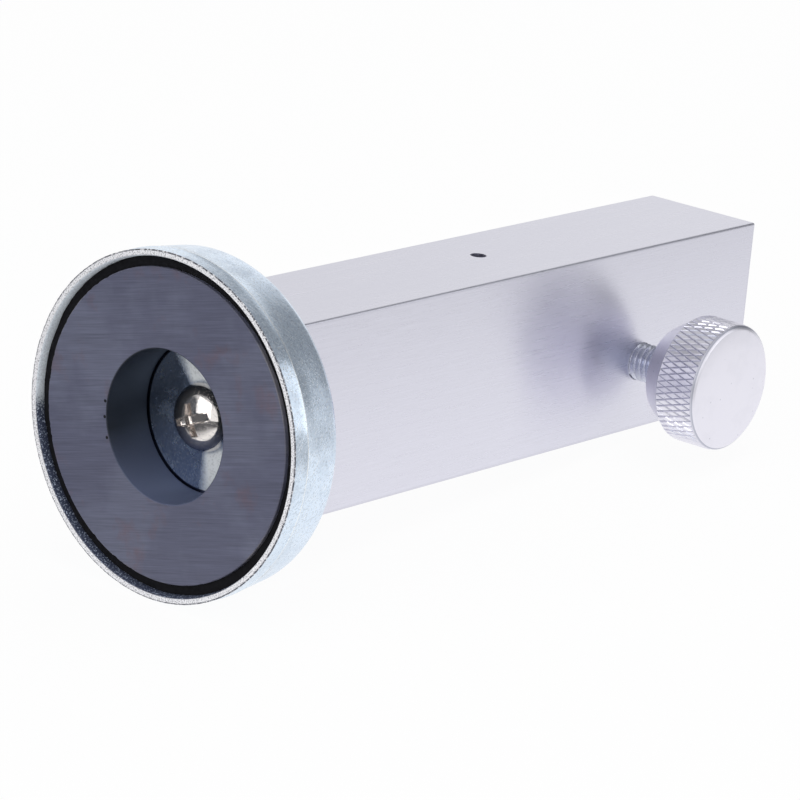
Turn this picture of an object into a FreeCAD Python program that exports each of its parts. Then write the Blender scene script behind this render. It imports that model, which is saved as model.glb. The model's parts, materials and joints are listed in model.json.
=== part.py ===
import FreeCAD, Part
import os
import re

import Sketcher

# Camber caster gauge: an aluminium bar on a round pot magnet.
# The origin is the centre of the magnet's contact face. X runs along the bar, away from the
# wheel, the reading face looks along +Y, the thumbscrew stands out along -Y, and Z is up.

os.makedirs("parts", exist_ok=True)
doc = FreeCAD.newDocument("CamberCasterGauge")

# Driving sizes in millimetres
sizes = {
    # how near an edge lies to the place where a fillet looks for it
    "edge_match": 0.01,
    # ring magnet and the filling round its foot
    "ferrite_radius": 30.0,
    "ferrite_bore": 14.7,
    "ferrite_recess": 1.1,
    "ferrite_chamfer": 0.3,
    "filling_drop": 0.9,
    "filling_gap": 0.05,
    # magnet cup, a drawn steel sheet that tapers to the back
    "rim_gap": 2.0,
    "rim_band": 3.5,
    "cup_taper": 1.15,
    "cup_depth": 13.9,
    "cup_sheet": 1.5,
    "cup_back_round": 2.5,
    "cup_floor_round": 0.5,
    "rim_edge_round": 0.2,
    # screw that holds the cup to the bar
    "cup_screw_radius": 2.95,
    "cup_screw_length": 17.0,
    "cup_screw_end_gap": 1.5,
    "cup_screw_hole_gap": 0.35,
    "cup_screw_thread_gap": 0.05,
    "head_radius": 6.6,
    "head_height": 4.4,
    "head_round": 3.4,
    "recess_arm": 3.1,
    "recess_width": 1.5,
    "recess_depth": 2.3,
    "slot_arm": 4.7,
    "slot_width": 1.2,
    "slot_depth": 1.9,
    # bar: its width and length come from what lies inside
    "bar_height": 39.3,
    "bar_edge_round": 0.45,
    "back_wall": 7.2,
    "milled_round": 2.5,
    "vial_pocket_round": 1.0,
    # pivot pin
    "pin_radius": 1.6,
    "pin_gap": 0.05,
    "pin_recess": 2.4,
    "pin_end_wall": 3.6,
    # rocking carrier of the caster vial
    "caster_row": 5.0,
    "carrier_reach": 44.5,
    "carrier_width": 11.0,
    "carrier_web": 0.5,
    "carrier_keel": 2.15,
    "carrier_end_round": 1.5,
    "trough_side": 0.4,
    "trough_end": 0.5,
    "caster_bed": 0.2,
    "rock_room": 4.0,
    "pocket_end_gap": 2.0,
    "pocket_side_gap": 0.5,
    # fixed camber vial
    "row_land": 1.5,
    "camber_web": 0.5,
    "camber_bed": 1.0,
    "camber_side": 0.75,
    "camber_cover": 0.55,
    # vials that lie along the bar
    "vial_radius": 3.75,
    "vial_length": 54.0,
    "vial_wall": 0.7,
    "vial_fit": 0.02,
    "plug_length": 3.0,
    "bubble_length": 11.0,
    "bubble_width": 4.2,
    "bubble_height": 1.6,
    "bed_fit": 0.02,
    # small vial that lies across the bar
    "level_radius": 3.5,
    "level_length": 24.0,
    "level_bubble": 7.0,
    "level_floor_bed": 1.0,
    "level_cover": 0.9,
    # lands between the pockets, the screws and the ends of the scale plate
    "pocket_screw_land": 7.5,
    "level_pocket_land": 8.35,
    "level_screw_land": 3.25,
    # scale plate in its recess
    "plate_front": 20.1,
    "plate_back": 4.0,
    "plate_side": 2.5,
    "plate_thickness": 1.2,
    "plate_fit": 0.1,
    "window_length": 61.0,
    "window_width": 8.6,
    "window_round": 1.5,
    "level_window_length": 21.0,
    "level_window_width": 7.6,
    # countersunk screws of the plate
    "plate_screw_inset": 4.5,
    "plate_screw_radius": 1.2,
    "plate_screw_lip": 0.2,
    "plate_screw_length": 6.0,
    "plate_screw_gap": 0.05,
    "plate_screw_slot": 0.6,
    "plate_screw_slot_depth": 0.55,
    # thumbscrew
    "screw_inset": 6.0,
    "thread_radius": 3.95,
    "thread_pitch": 1.25,
    "thread_depth": 0.7,
    "thread_gap": 0.07,
    "thread_runout": 1.0,
    "stud_chamfer": 0.6,
    "stud_seat_depth": 9.0,
    "stud_seat_gap": 0.02,
    "knob_stand_off": 8.4,
    "knob_radius": 13.25,
    "knob_shoulder_radius": 9.45,
    "knob_shoulder": 5.4,
    "knob_knurl": 8.9,
    "knob_bevel": 0.35,
    "knob_bevel_width": 1.0,
    # swivel pad on the thumbscrew's tip
    "pad_radius": 3.0,
    "pad_height": 2.0,
    "pad_dome": 8.0,
    "pad_contact_gap": 0.1,
    "pad_face_gap": 0.1,
    "pad_stem_radius": 1.25,
    "pad_stem_length": 2.6,
    "pad_stem_gap": 0.05,
    "pad_stem_end_gap": 0.4,
    # return spring at the carrier's other end
    "spring_inset": 6.0,
    "spring_radius": 2.15,
    "spring_wire_radius": 0.35,
    "spring_side_gap": 0.5,
    "spring_bore_depth": 5.0,
    "spring_seat_depth": 1.0,
    "spring_end_gap": 0.05,
}

# Counts, and angles in degrees
turns_and_angles = {
    "spring_turns": 6,
    "recess_turn": 26,
}

# Places that follow from the driving sizes
derived = {
    # across the magnet
    "rim_inner": "ferrite_radius + rim_gap",
    "rim_radius": "rim_inner + cup_sheet",
    "cup_back_radius": "rim_radius - cup_taper",
    "cup_back_inner": "cup_back_radius - cup_sheet",
    "cup_floor": "cup_depth - cup_sheet",
    "wall_slope": "(rim_inner - cup_back_inner) / (cup_floor - rim_band)",
    "filling_top": "ferrite_recess + filling_drop",
    "filling_foot": "cup_floor - cup_floor_round - filling_gap",
    "cup_hole": "cup_screw_radius + cup_screw_hole_gap",
    "head_top": "cup_floor - head_height",
    # through the bar, from the reading face to the thumbscrew's side
    "pivot_bore": "pin_radius + pin_gap",
    "over_pivot": "camber_web + camber_bed + 2 * vial_radius + camber_cover + plate_thickness",
    "under_pivot": "carrier_keel + rock_room + back_wall",
    "bar_width": "over_pivot + 2 * pivot_bore + under_pivot",
    "face": "bar_width / 2",
    "plate_floor": "face - plate_thickness",
    "camber_vial_y": "plate_floor - camber_cover - vial_radius",
    "camber_floor": "camber_vial_y - vial_radius - camber_bed",
    "pivot_offset": "camber_floor - camber_web - pivot_bore",
    "trough_floor": "pivot_offset + pivot_bore + carrier_web",
    "caster_vial_y": "trough_floor + caster_bed + vial_radius",
    "carrier_bottom": "pivot_offset - pivot_bore - carrier_keel",
    "pocket_floor": "carrier_bottom - rock_room",
    "level_y": "plate_floor - level_cover - level_radius",
    "level_floor": "level_y - level_radius - level_floor_bed",
    # along the bar
    "pocket_half": "carrier_reach + pocket_end_gap",
    "plate_start": "cup_depth + plate_front",
    "near_screw_x": "plate_start + plate_screw_inset",
    "pivot_x": "near_screw_x + pocket_screw_land + pocket_half",
    "level_half_width": "level_radius + camber_side",
    "level_x": "pivot_x + pocket_half + level_pocket_land + level_half_width",
    "far_screw_x": "level_x + level_half_width + level_screw_land",
    "plate_end": "far_screw_x + plate_screw_inset",
    "bar_end": "plate_end + plate_back",
    "screw_x": "pivot_x + carrier_reach - screw_inset",
    "spring_x": "pivot_x - carrier_reach + spring_inset",
    "trough_half": "vial_length / 2 + trough_end",
    # up the bar
    "half_height": "bar_height / 2",
    "caster_z": "0 - caster_row",
    "pocket_half_width": "carrier_width / 2 + pocket_side_gap",
    "trough_half_width": "vial_radius + trough_side",
    "camber_half_width": "vial_radius + camber_side",
    "camber_z": "caster_z + pocket_half_width + row_land + camber_half_width",
    "level_half": "level_length / 2 + trough_end",
    "plate_half": "half_height - plate_side",
    "plate_screw_z": "plate_half - plate_screw_inset",
    # plate screws
    "plate_hole": "plate_screw_radius + plate_screw_gap",
    "plate_sink": "plate_thickness - plate_screw_lip",
    "plate_screw_head": "plate_screw_radius + plate_sink",
    # thumbscrew and pad
    "pad_top": "carrier_bottom - pad_contact_gap",
    "pad_back": "pad_top - pad_height",
    "stud_tip": "pad_back - pad_face_gap",
    "knob_back": "0 - face - knob_stand_off",
    "knurl_back": "knob_back - knob_shoulder",
    "knurl_front": "knurl_back - knob_knurl",
    "knob_front": "knurl_front - knob_bevel",
    "stud_end": "knob_back - stud_seat_depth",
    "stem_bore": "pad_stem_radius + pad_stem_gap",
    "stem_depth": "pad_stem_length + pad_stem_end_gap - pad_face_gap",
    "thread_length": "stud_tip - knob_back - 2 * thread_runout",
    # spring
    "spring_bore": "spring_radius + spring_wire_radius + spring_side_gap",
    "spring_floor": "pocket_floor - spring_bore_depth",
    "spring_height": "carrier_bottom + spring_seat_depth - spring_floor - 2 * spring_end_gap",
    "spring_line": "spring_height - 2 * spring_wire_radius",
}

sheet = doc.addObject("Spreadsheet::Sheet", "Sizes")
cells = {**sizes, **turns_and_angles}
for row, (alias, size) in enumerate(cells.items(), 1):
    sheet.set("A%d" % row, alias)
    sheet.set("B%d" % row, str(size))
    sheet.setAlias("B%d" % row, alias)
doc.recompute()


def expand(text):
    """Rewrite a sum of size names as an expression on the sheet's cells."""
    def swap(match):
        word = match.group()
        if word in derived:
            return "(" + expand(derived[word]) + ")"
        if word in cells:
            return "Sizes." + word
        return word
    return re.sub("[a-z_]+", swap, text)


def number(text):
    return float(sheet.evalExpression(expand(text)))


def bind(thing, name, text):
    thing.setExpression(name, expand(text))


def vector(u, v, w="0"):
    return FreeCAD.Vector(number(u), number(v), number(w))


# Sketches

def new_body(name):
    return doc.addObject("PartDesign::Body", name)


def new_sketch(body, name, role, offset="0"):
    """Sketch on one of the body's own origin planes, moved along its normal."""
    plane = next(f for f in body.Origin.OriginFeatures if f.Role == role)
    sketch = body.newObject("Sketcher::SketchObject", name)
    sketch.AttachmentSupport = [(plane, "")]
    sketch.MapMode = "FlatFace"
    bind(sketch, "AttachmentOffset.Base.z", offset)
    return sketch


def place_point(sketch, edge, corner, u, v):
    """Tie a point of an edge to the sketch's origin by two bound distances."""
    for kind, axis, text in (("DistanceX", -2, u), ("DistanceY", -1, v)):
        if text == "0":
            sketch.addConstraint(Sketcher.Constraint("PointOnObject", edge, corner, axis))
        else:
            index = sketch.addConstraint(
                Sketcher.Constraint(kind, -1, 1, edge, corner, number(text)))
            bind(sketch, "Constraints[%d]" % index, text)


def draw_outline(sketch, corners):
    """Closed outline of straight sides through corners named by their sizes."""
    first = sketch.GeometryCount
    count = len(corners)
    points = [vector(u, v) for u, v in corners]
    for i in range(count):
        sketch.addGeometry(Part.LineSegment(points[i], points[(i + 1) % count]))
    for i in range(count):
        after = first + (i + 1) % count
        sketch.addConstraint(Sketcher.Constraint("Coincident", first + i, 2, after, 1))
    for i, (u, v) in enumerate(corners):
        place_point(sketch, first + i, 1, u, v)


def draw_rectangle(sketch, left, low, right, high):
    draw_outline(sketch, [(left, low), (right, low), (right, high), (left, high)])


def draw_circle(sketch, u, v, radius):
    edge = sketch.addGeometry(
        Part.Circle(vector(u, v), FreeCAD.Vector(0, 0, 1), number(radius)))
    place_point(sketch, edge, 3, u, v)
    index = sketch.addConstraint(Sketcher.Constraint("Radius", edge, number(radius)))
    bind(sketch, "Constraints[%d]" % index, radius)


# Features of a body

def add_feature(body, kind, name, sketch):
    feature = body.newObject("PartDesign::" + kind, name)
    feature.Profile = (sketch, [""])
    return feature


def pad(body, name, sketch, length, backwards=False):
    feature = add_feature(body, "Pad", name, sketch)
    feature.Reversed = backwards
    bind(feature, "Length", length)
    doc.recompute()
    return feature


def check_cut(body, name, before):
    doc.recompute()
    if not body.Shape.Volume < before:
        raise RuntimeError(name + " cuts nothing")


def pocket(body, name, sketch, depth, backwards=False):
    before = body.Shape.Volume
    feature = add_feature(body, "Pocket", name, sketch)
    feature.Reversed = backwards
    bind(feature, "Length", depth)
    check_cut(body, name, before)
    return feature


def revolve(body, name, sketch, axis):
    feature = add_feature(body, "Revolution", name, sketch)
    feature.ReferenceAxis = (sketch, [axis])
    feature.Angle = 360
    doc.recompute()
    return feature


def groove(body, name, sketch, axis):
    before = body.Shape.Volume
    feature = add_feature(body, "Groove", name, sketch)
    feature.ReferenceAxis = (sketch, [axis])
    feature.Angle = 360
    check_cut(body, name, before)
    return feature


def dress(body, kind, name, size, wanted):
    """Round or chamfer the edges that the given test picks."""
    base = body.Tip
    names = []
    for i, edge in enumerate(base.Shape.Edges, 1):
        if wanted(edge):
            names.append("Edge%d" % i)
    if not names:
        raise RuntimeError(name + " finds no edge")
    feature = body.newObject("PartDesign::" + kind, name)
    feature.Base = (base, names)
    bind(feature, "Radius" if kind == "Fillet" else "Size", size)
    doc.recompute()
    return feature


def near(a, b):
    return abs(a - b) < number("edge_match")


def is_kind(edge, kind):
    return not edge.Degenerated and isinstance(edge.Curve, kind)


def runs_along(edge, axis):
    """True for a straight edge along the given axis, 0 for X, 1 for Y, 2 for Z."""
    return is_kind(edge, Part.Line) and near(abs(edge.Curve.Direction[axis]), 1)


def circle_at(edge, axis, place, radius):
    """True for a full circle of that radius in the plane at that place."""
    return (is_kind(edge, Part.Circle) and near(edge.Curve.Radius, number(radius))
            and near(edge.Curve.Center[axis], number(place)))


def upright_in(edge, left, right, low, high, floor):
    """True for an edge along Y that starts at the floor, inside an XZ rectangle's edges."""
    box = edge.BoundBox
    slack = number("edge_match")
    return (runs_along(edge, 1) and near(box.YMin, number(floor))
            and number(left) - slack < box.XMin and box.XMax < number(right) + slack
            and number(low) - slack < box.ZMin and box.ZMax < number(high) + slack)


# Plain solids

turns = {
    "x": FreeCAD.Rotation(FreeCAD.Vector(0, 1, 0), 90),
    "y": FreeCAD.Rotation(FreeCAD.Vector(1, 0, 0), -90),
    "-y": FreeCAD.Rotation(FreeCAD.Vector(1, 0, 0), 90),
    "z": FreeCAD.Rotation(),
}


def place(thing, x, y, z, axis="z"):
    thing.Placement = FreeCAD.Placement(FreeCAD.Vector(0, 0, 0), turns[axis])
    bind(thing, "Placement.Base.x", x)
    bind(thing, "Placement.Base.y", y)
    bind(thing, "Placement.Base.z", z)
    return thing


def rod(name, radius, length, axis, x, y, z):
    """Cylinder that starts at a point and runs along an axis."""
    thing = doc.addObject("Part::Cylinder", name)
    bind(thing, "Radius", radius)
    bind(thing, "Height", length)
    return place(thing, x, y, z, axis)


def cone(name, start_radius, end_radius, length, axis, x, y, z):
    thing = doc.addObject("Part::Cone", name)
    bind(thing, "Radius1", start_radius)
    bind(thing, "Radius2", end_radius)
    bind(thing, "Height", length)
    return place(thing, x, y, z, axis)


def block(name, x, y, z, length, width, height):
    """Box from its lowest corner."""
    thing = doc.addObject("Part::Box", name)
    bind(thing, "Length", length)
    bind(thing, "Width", width)
    bind(thing, "Height", height)
    return place(thing, x, y, z)


def join(kind, name, base, tool):
    thing = doc.addObject("Part::" + kind, name)
    thing.Base = base
    thing.Tool = tool
    return thing


def group(name, things):
    thing = doc.addObject("Part::Compound", name)
    thing.Links = things
    return thing


# Magnet cup: a flat rim band, a wall that tapers to the back, and a floor with a screw hole

def make_magnet_cup():
    body = new_body("magnet_cup")
    profile = new_sketch(body, "CupProfile", "XY_Plane")
    draw_outline(profile, [
        ("0", "rim_radius"), ("rim_band", "rim_radius"), ("cup_depth", "cup_back_radius"),
        ("cup_depth", "cup_hole"), ("cup_floor", "cup_hole"), ("cup_floor", "cup_back_inner"),
        ("rim_band", "rim_inner"), ("0", "rim_inner")])
    revolve(body, "CupWall", profile, "H_Axis")
    dress(body, "Fillet", "BackRound", "cup_back_round",
          lambda e: circle_at(e, 0, "cup_depth", "cup_back_radius"))
    dress(body, "Fillet", "FloorRound", "cup_floor_round",
          lambda e: circle_at(e, 0, "cup_floor", "cup_back_inner"))
    dress(body, "Fillet", "RimRound", "rim_edge_round",
          lambda e: circle_at(e, 0, "0", "rim_radius"))
    return body


def make_ferrite_ring():
    body = new_body("ferrite_ring")
    profile = new_sketch(body, "RingProfile", "XY_Plane")
    draw_rectangle(profile, "ferrite_recess", "ferrite_bore", "cup_floor", "ferrite_radius")
    revolve(body, "Ring", profile, "H_Axis")
    dress(body, "Chamfer", "RingEdges", "ferrite_chamfer",
          lambda e: is_kind(e, Part.Circle)
          and near(e.Curve.Center.x, number("ferrite_recess")))
    return body


def make_magnet_adhesive():
    """Dark filling between the foot of the ring magnet and the cup's wall."""
    body = new_body("magnet_adhesive")
    profile = new_sketch(body, "FillingProfile", "XY_Plane")
    inside = "ferrite_radius + filling_gap"
    draw_outline(profile, [
        ("filling_top", inside), ("filling_foot", inside),
        ("filling_foot", "rim_inner - (filling_foot - rim_band) * wall_slope - filling_gap"),
        ("rim_band", "rim_inner - filling_gap"), ("filling_top", "rim_inner - filling_gap")])
    revolve(body, "Filling", profile, "H_Axis")
    return body


# Pan-head screw, its cross recess crossed by a wider slot

def make_magnet_screw():
    body = new_body("magnet_screw")
    profile = new_sketch(body, "ScrewProfile", "XY_Plane")
    tip = "cup_floor + cup_screw_length"
    draw_outline(profile, [
        ("head_top", "0"), ("head_top", "head_radius"), ("cup_floor", "head_radius"),
        ("cup_floor", "cup_screw_radius"), (tip, "cup_screw_radius"), (tip, "0")])
    revolve(body, "ScrewBlank", profile, "H_Axis")
    dress(body, "Fillet", "HeadDome", "head_round",
          lambda e: circle_at(e, 0, "head_top", "head_radius"))
    cross = new_sketch(body, "CrossRecess", "YZ_Plane", "head_top")
    arm = "recess_arm"
    half = "recess_width / 2"
    draw_outline(cross, [
        ("0 - " + arm, "0 - " + half), ("0 - " + half, "0 - " + half),
        ("0 - " + half, "0 - " + arm), (half, "0 - " + arm), (half, "0 - " + half),
        (arm, "0 - " + half), (arm, half), (half, half), (half, arm),
        ("0 - " + half, arm), ("0 - " + half, half), ("0 - " + arm, half)])
    pocket(body, "Cross", cross, "recess_depth", backwards=True)
    slot = new_sketch(body, "SlotRecess", "YZ_Plane", "head_top")
    draw_rectangle(slot, "0 - slot_arm", "0 - slot_width / 2", "slot_arm", "slot_width / 2")
    pocket(body, "Slot", slot, "slot_depth", backwards=True)
    turned = FreeCAD.Rotation(FreeCAD.Vector(-1, 0, 0), number("recess_turn"))
    body.Placement = FreeCAD.Placement(FreeCAD.Vector(0, 0, 0), turned)
    bind(body, "Placement.Rotation.Angle", "recess_turn")
    return body


# Bar, with its pockets milled from the reading face

def mill(body, name, x0, x1, z0, z1, floor, top, corner):
    """Pocket with round upright corners, from the top down to the floor along Y."""
    sketch = new_sketch(body, name + "Outline", "XZ_Plane", "0 - (%s)" % top)
    draw_rectangle(sketch, x0, z0, x1, z1)
    pocket(body, name, sketch, "(%s) - (%s)" % (top, floor), backwards=True)
    dress(body, "Fillet", name + "Round", corner,
          lambda e: upright_in(e, x0, x1, z0, z1, floor))


def drill(body, name, role, offset, holes, radius, depth, backwards=False):
    """Equal round holes, given by their centres, from one sketch."""
    sketch = new_sketch(body, name + "Centres", role, offset)
    for u, v in holes:
        draw_circle(sketch, u, v, radius)
    pocket(body, name, sketch, depth, backwards)


plate_screw_places = [
    ("near_screw_x", "0 - plate_screw_z"),
    ("near_screw_x", "plate_screw_z"),
    ("far_screw_x", "0 - plate_screw_z"),
    ("far_screw_x", "plate_screw_z"),
]


def make_body_block():
    body = new_body("body_block")
    section = new_sketch(body, "BarSection", "YZ_Plane", "cup_depth")
    draw_rectangle(section, "0 - face", "0 - half_height", "face", "half_height")
    pad(body, "Bar", section, "bar_end - cup_depth")
    dress(body, "Fillet", "BarEdges", "bar_edge_round", lambda e: True)
    mill(body, "PlateRecess", "plate_start", "plate_end", "0 - plate_half", "plate_half",
         "plate_floor", "face", "milled_round")
    mill(body, "CasterPocket", "pivot_x - pocket_half", "pivot_x + pocket_half",
         "caster_z - pocket_half_width", "caster_z + pocket_half_width",
         "pocket_floor", "plate_floor", "milled_round")
    mill(body, "CamberPocket", "pivot_x - trough_half", "pivot_x + trough_half",
         "camber_z - camber_half_width", "camber_z + camber_half_width",
         "camber_floor", "plate_floor", "vial_pocket_round")
    mill(body, "LevelPocket", "level_x - level_half_width", "level_x + level_half_width",
         "0 - level_half", "level_half", "level_floor", "plate_floor", "vial_pocket_round")
    drill(body, "ThumbscrewHole", "XZ_Plane", "face", [("screw_x", "caster_z")],
          "thread_radius + thread_gap", "face + pocket_floor")
    drill(body, "SpringBore", "XZ_Plane", "0 - pocket_floor", [("spring_x", "caster_z")],
          "spring_bore", "spring_bore_depth", backwards=True)
    drill(body, "PinHole", "XY_Plane", "half_height", [("pivot_x", "pivot_offset")],
          "pivot_bore", "bar_height - pin_end_wall")
    drill(body, "CupScrewHole", "YZ_Plane", "cup_depth", [("0", "0")],
          "cup_screw_radius + cup_screw_thread_gap",
          "cup_screw_length - cup_sheet + cup_screw_end_gap", backwards=True)
    drill(body, "PlateScrewHoles", "XZ_Plane", "0 - plate_floor", plate_screw_places,
          "plate_screw_radius + plate_screw_gap", "plate_screw_length", backwards=True)
    return body


def make_pivot_pin():
    low = "0 - half_height + pin_end_wall"
    return rod("pivot_pin", "pin_radius", "bar_height - pin_end_wall - pin_recess", "z",
               "pivot_x", "pivot_offset", low)


# Carrier that rocks on the pivot pin

def make_caster_carrier():
    body = new_body("caster_carrier")
    section = new_sketch(body, "CarrierSide", "XY_Plane", "caster_z - carrier_width / 2")
    draw_rectangle(section, "pivot_x - carrier_reach", "carrier_bottom",
                   "pivot_x + carrier_reach", "caster_vial_y")
    pad(body, "Carrier", section, "carrier_width")
    dress(body, "Fillet", "CarrierEnds", "carrier_end_round", lambda e: runs_along(e, 2))
    trough = new_sketch(body, "TroughOutline", "XZ_Plane", "0 - caster_vial_y")
    draw_rectangle(trough, "pivot_x - trough_half", "caster_z - trough_half_width",
                   "pivot_x + trough_half", "caster_z + trough_half_width")
    pocket(body, "Trough", trough, "caster_vial_y - trough_floor", backwards=True)
    drill(body, "PivotBore", "XY_Plane", "caster_z + carrier_width / 2",
          [("pivot_x", "pivot_offset")], "pivot_bore", "carrier_width")
    drill(body, "SpringSeat", "XZ_Plane", "0 - carrier_bottom", [("spring_x", "caster_z")],
          "spring_bore", "spring_seat_depth")
    return body


# Vials: a glass tube, two plugs and the spirit, whose bubble lies at the top

def make_vial(name, axis, x, y, z, radius, length, bubble):
    shares = {"x": ("1", "0"), "z": ("0", "1")}
    along_x, along_z = shares[axis]

    def start(offset):
        return ("(%s) + (%s) * %s" % (x, offset, along_x), y,
                "(%s) + (%s) * %s" % (z, offset, along_z))

    half = "(%s) / 2" % length
    bore = "(%s) - vial_wall" % radius
    inside = bore + " - vial_fit"
    tube = rod(name + "_tube", radius, length, axis, *start("0 - " + half))
    hollow = rod(name + "_hollow", bore, length, axis, *start("0 - " + half))
    glass = join("Cut", name + "_glass", tube, hollow)
    plugs = group(name + "_plugs", [
        rod(name + "_near_plug", inside, "plug_length", axis, *start("0 - " + half)),
        rod(name + "_far_plug", inside, "plug_length", axis, *start(half + " - plug_length"))])
    column = rod(name + "_column", inside, length + " - 2 * plug_length", axis,
                 *start("plug_length - " + half))
    air = doc.addObject("Part::Ellipsoid", name + "_bubble")
    bind(air, "Radius1", bubble + " / 2")
    bind(air, "Radius2", "bubble_width / 2")
    bind(air, "Radius3", "bubble_height")
    place(air, x, "%s + %s" % (y, inside), z, axis)
    liquid = join("Cut", name + "_liquid", column, air)
    return [glass, plugs, liquid]


def make_bed(name, x0, x1, y0, y1, z0, z1, vial):
    """Setting compound that fills a pocket up to the middle of its vial."""
    filling = block(name + "_filling", x0, y0, z0, "(%s) - (%s)" % (x1, x0),
                    "(%s) - (%s)" % (y1, y0), "(%s) - (%s)" % (z1, z0))
    return join("Cut", name, filling, vial)


def make_vials():
    kept = []
    kept += make_vial("caster_vial", "x", "pivot_x", "caster_vial_y", "caster_z",
                      "vial_radius", "vial_length", "bubble_length")
    kept += make_vial("camber_vial", "x", "pivot_x", "camber_vial_y", "camber_z",
                      "vial_radius", "vial_length", "bubble_length")
    kept += make_vial("level_vial", "z", "level_x", "level_y", "0",
                      "level_radius", "level_length", "level_bubble")
    seat = "vial_radius + bed_fit"
    caster_seat = rod("caster_seat", seat, "2 * trough_half", "x",
                      "pivot_x - trough_half", "caster_vial_y", "caster_z")
    kept.append(make_bed("caster_vial_bed", "pivot_x - trough_half", "pivot_x + trough_half",
                         "trough_floor", "caster_vial_y", "caster_z - trough_half_width",
                         "caster_z + trough_half_width", caster_seat))
    camber_seat = rod("camber_seat", seat, "2 * trough_half", "x",
                      "pivot_x - trough_half", "camber_vial_y", "camber_z")
    kept.append(make_bed("camber_vial_bed", "pivot_x - vial_length / 2",
                         "pivot_x + vial_length / 2", "camber_floor", "camber_vial_y",
                         "camber_z - vial_radius", "camber_z + vial_radius", camber_seat))
    level_seat = rod("level_seat", "level_radius + bed_fit", "2 * level_half", "z",
                     "level_x", "level_y", "0 - level_half")
    kept.append(make_bed("level_vial_bed", "level_x - level_radius", "level_x + level_radius",
                         "level_floor", "level_y", "0 - level_length / 2", "level_length / 2",
                         level_seat))
    return kept


# Scale plate with a window over each vial, and its four countersunk screws

def make_scale_plate():
    body = new_body("scale_plate")
    outline = new_sketch(body, "PlateOutline", "XZ_Plane", "0 - face")
    draw_rectangle(outline, "plate_start + plate_fit", "0 - plate_half + plate_fit",
                   "plate_end - plate_fit", "plate_half - plate_fit")
    pad(body, "Plate", outline, "plate_thickness")
    dress(body, "Fillet", "PlateCorners", "milled_round", lambda e: runs_along(e, 1))
    windows = [
        ("pivot_x", "caster_z", "window_length / 2", "window_width / 2"),
        ("pivot_x", "camber_z", "window_length / 2", "window_width / 2"),
        ("level_x", "0", "level_window_width / 2", "level_window_length / 2"),
    ]
    sketch = new_sketch(body, "WindowOutlines", "XZ_Plane", "0 - face")
    for x, z, half_x, half_z in windows:
        draw_rectangle(sketch, "%s - %s" % (x, half_x), "%s - %s" % (z, half_z),
                       "%s + %s" % (x, half_x), "%s + %s" % (z, half_z))
    pocket(body, "Windows", sketch, "plate_thickness", backwards=True)
    for i, (x, z, half_x, half_z) in enumerate(windows, 1):
        dress(body, "Fillet", "WindowRound%d" % i, "window_round",
              lambda e: upright_in(e, x + " - " + half_x, x + " + " + half_x,
                                   z + " - " + half_z, z + " + " + half_z, "plate_floor"))
    drill(body, "PlateHoles", "XZ_Plane", "0 - face", plate_screw_places, "plate_hole",
          "plate_thickness", backwards=True)
    dress(body, "Chamfer", "PlateSinks", "plate_sink",
          lambda e: circle_at(e, 1, "face", "plate_hole"))
    return body


def make_plate_screws():
    screws = []
    for i, (x, z) in enumerate(plate_screw_places, 1):
        head = cone("plate_screw_head%d" % i, "plate_screw_head", "plate_screw_radius",
                    "plate_sink", "-y", x, "face", z)
        shank = rod("plate_screw_shank%d" % i, "plate_screw_radius", "plate_screw_length", "-y",
                    x, "face", z)
        slot = block("plate_screw_slot%d" % i, "%s - plate_screw_slot / 2" % x,
                     "face - plate_screw_slot_depth", "%s - plate_screw_head" % z,
                     "plate_screw_slot", "plate_screw_slot_depth", "2 * plate_screw_head")
        whole = join("Fuse", "plate_screw_blank%d" % i, head, shank)
        screws.append(join("Cut", "plate_screw%d" % i, whole, slot))
    return group("plate_screws", screws)


# Thumbscrew: the profiles are drawn with the radius along X and the height along Y

def make_thumbscrew_knob():
    body = new_body("thumbscrew_knob")
    profile = new_sketch(body, "KnobProfile", "XY_Plane")
    seat = "thread_radius + stud_seat_gap"
    draw_outline(profile, [
        (seat, "knob_back"), ("knob_shoulder_radius", "knob_back"),
        ("knob_radius", "knurl_back"), ("knob_radius", "knurl_front"),
        ("knob_radius - knob_bevel_width", "knob_front"), ("0", "knob_front"),
        ("0", "stud_end"), (seat, "stud_end")])
    revolve(body, "Knob", profile, "V_Axis")
    return place(body, "screw_x", "0", "caster_z")


def make_thumbscrew_stud():
    body = new_body("thumbscrew_stud")
    profile = new_sketch(body, "StudProfile", "XY_Plane")
    draw_outline(profile, [
        ("0", "stud_end"), ("thread_radius", "stud_end"), ("thread_radius", "stud_tip"),
        ("stem_bore", "stud_tip"), ("stem_bore", "stud_tip - stem_depth"),
        ("0", "stud_tip - stem_depth")])
    revolve(body, "Stud", profile, "V_Axis")
    dress(body, "Chamfer", "StudTip", "stud_chamfer",
          lambda e: circle_at(e, 1, "stud_tip", "thread_radius"))
    tooth = new_sketch(body, "ThreadGap", "XY_Plane")
    top = "stud_tip - thread_runout"
    draw_outline(tooth, [
        ("thread_radius", top), ("thread_radius", top + " - thread_pitch"),
        ("thread_radius - thread_depth", top + " - thread_pitch / 2")])
    cut = groove(body, "ThreadRing", tooth, "V_Axis")
    rings = body.newObject("PartDesign::LinearPattern", "Thread")
    rings.Originals = [cut]
    rings.Direction = (tooth, ["V_Axis"])
    rings.Reversed = True
    bind(rings, "Occurrences", "floor(thread_length / thread_pitch)")
    bind(rings, "Length", "(floor(thread_length / thread_pitch) - 1) * thread_pitch")
    body.Tip = rings
    return place(body, "screw_x", "0", "caster_z")


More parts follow.
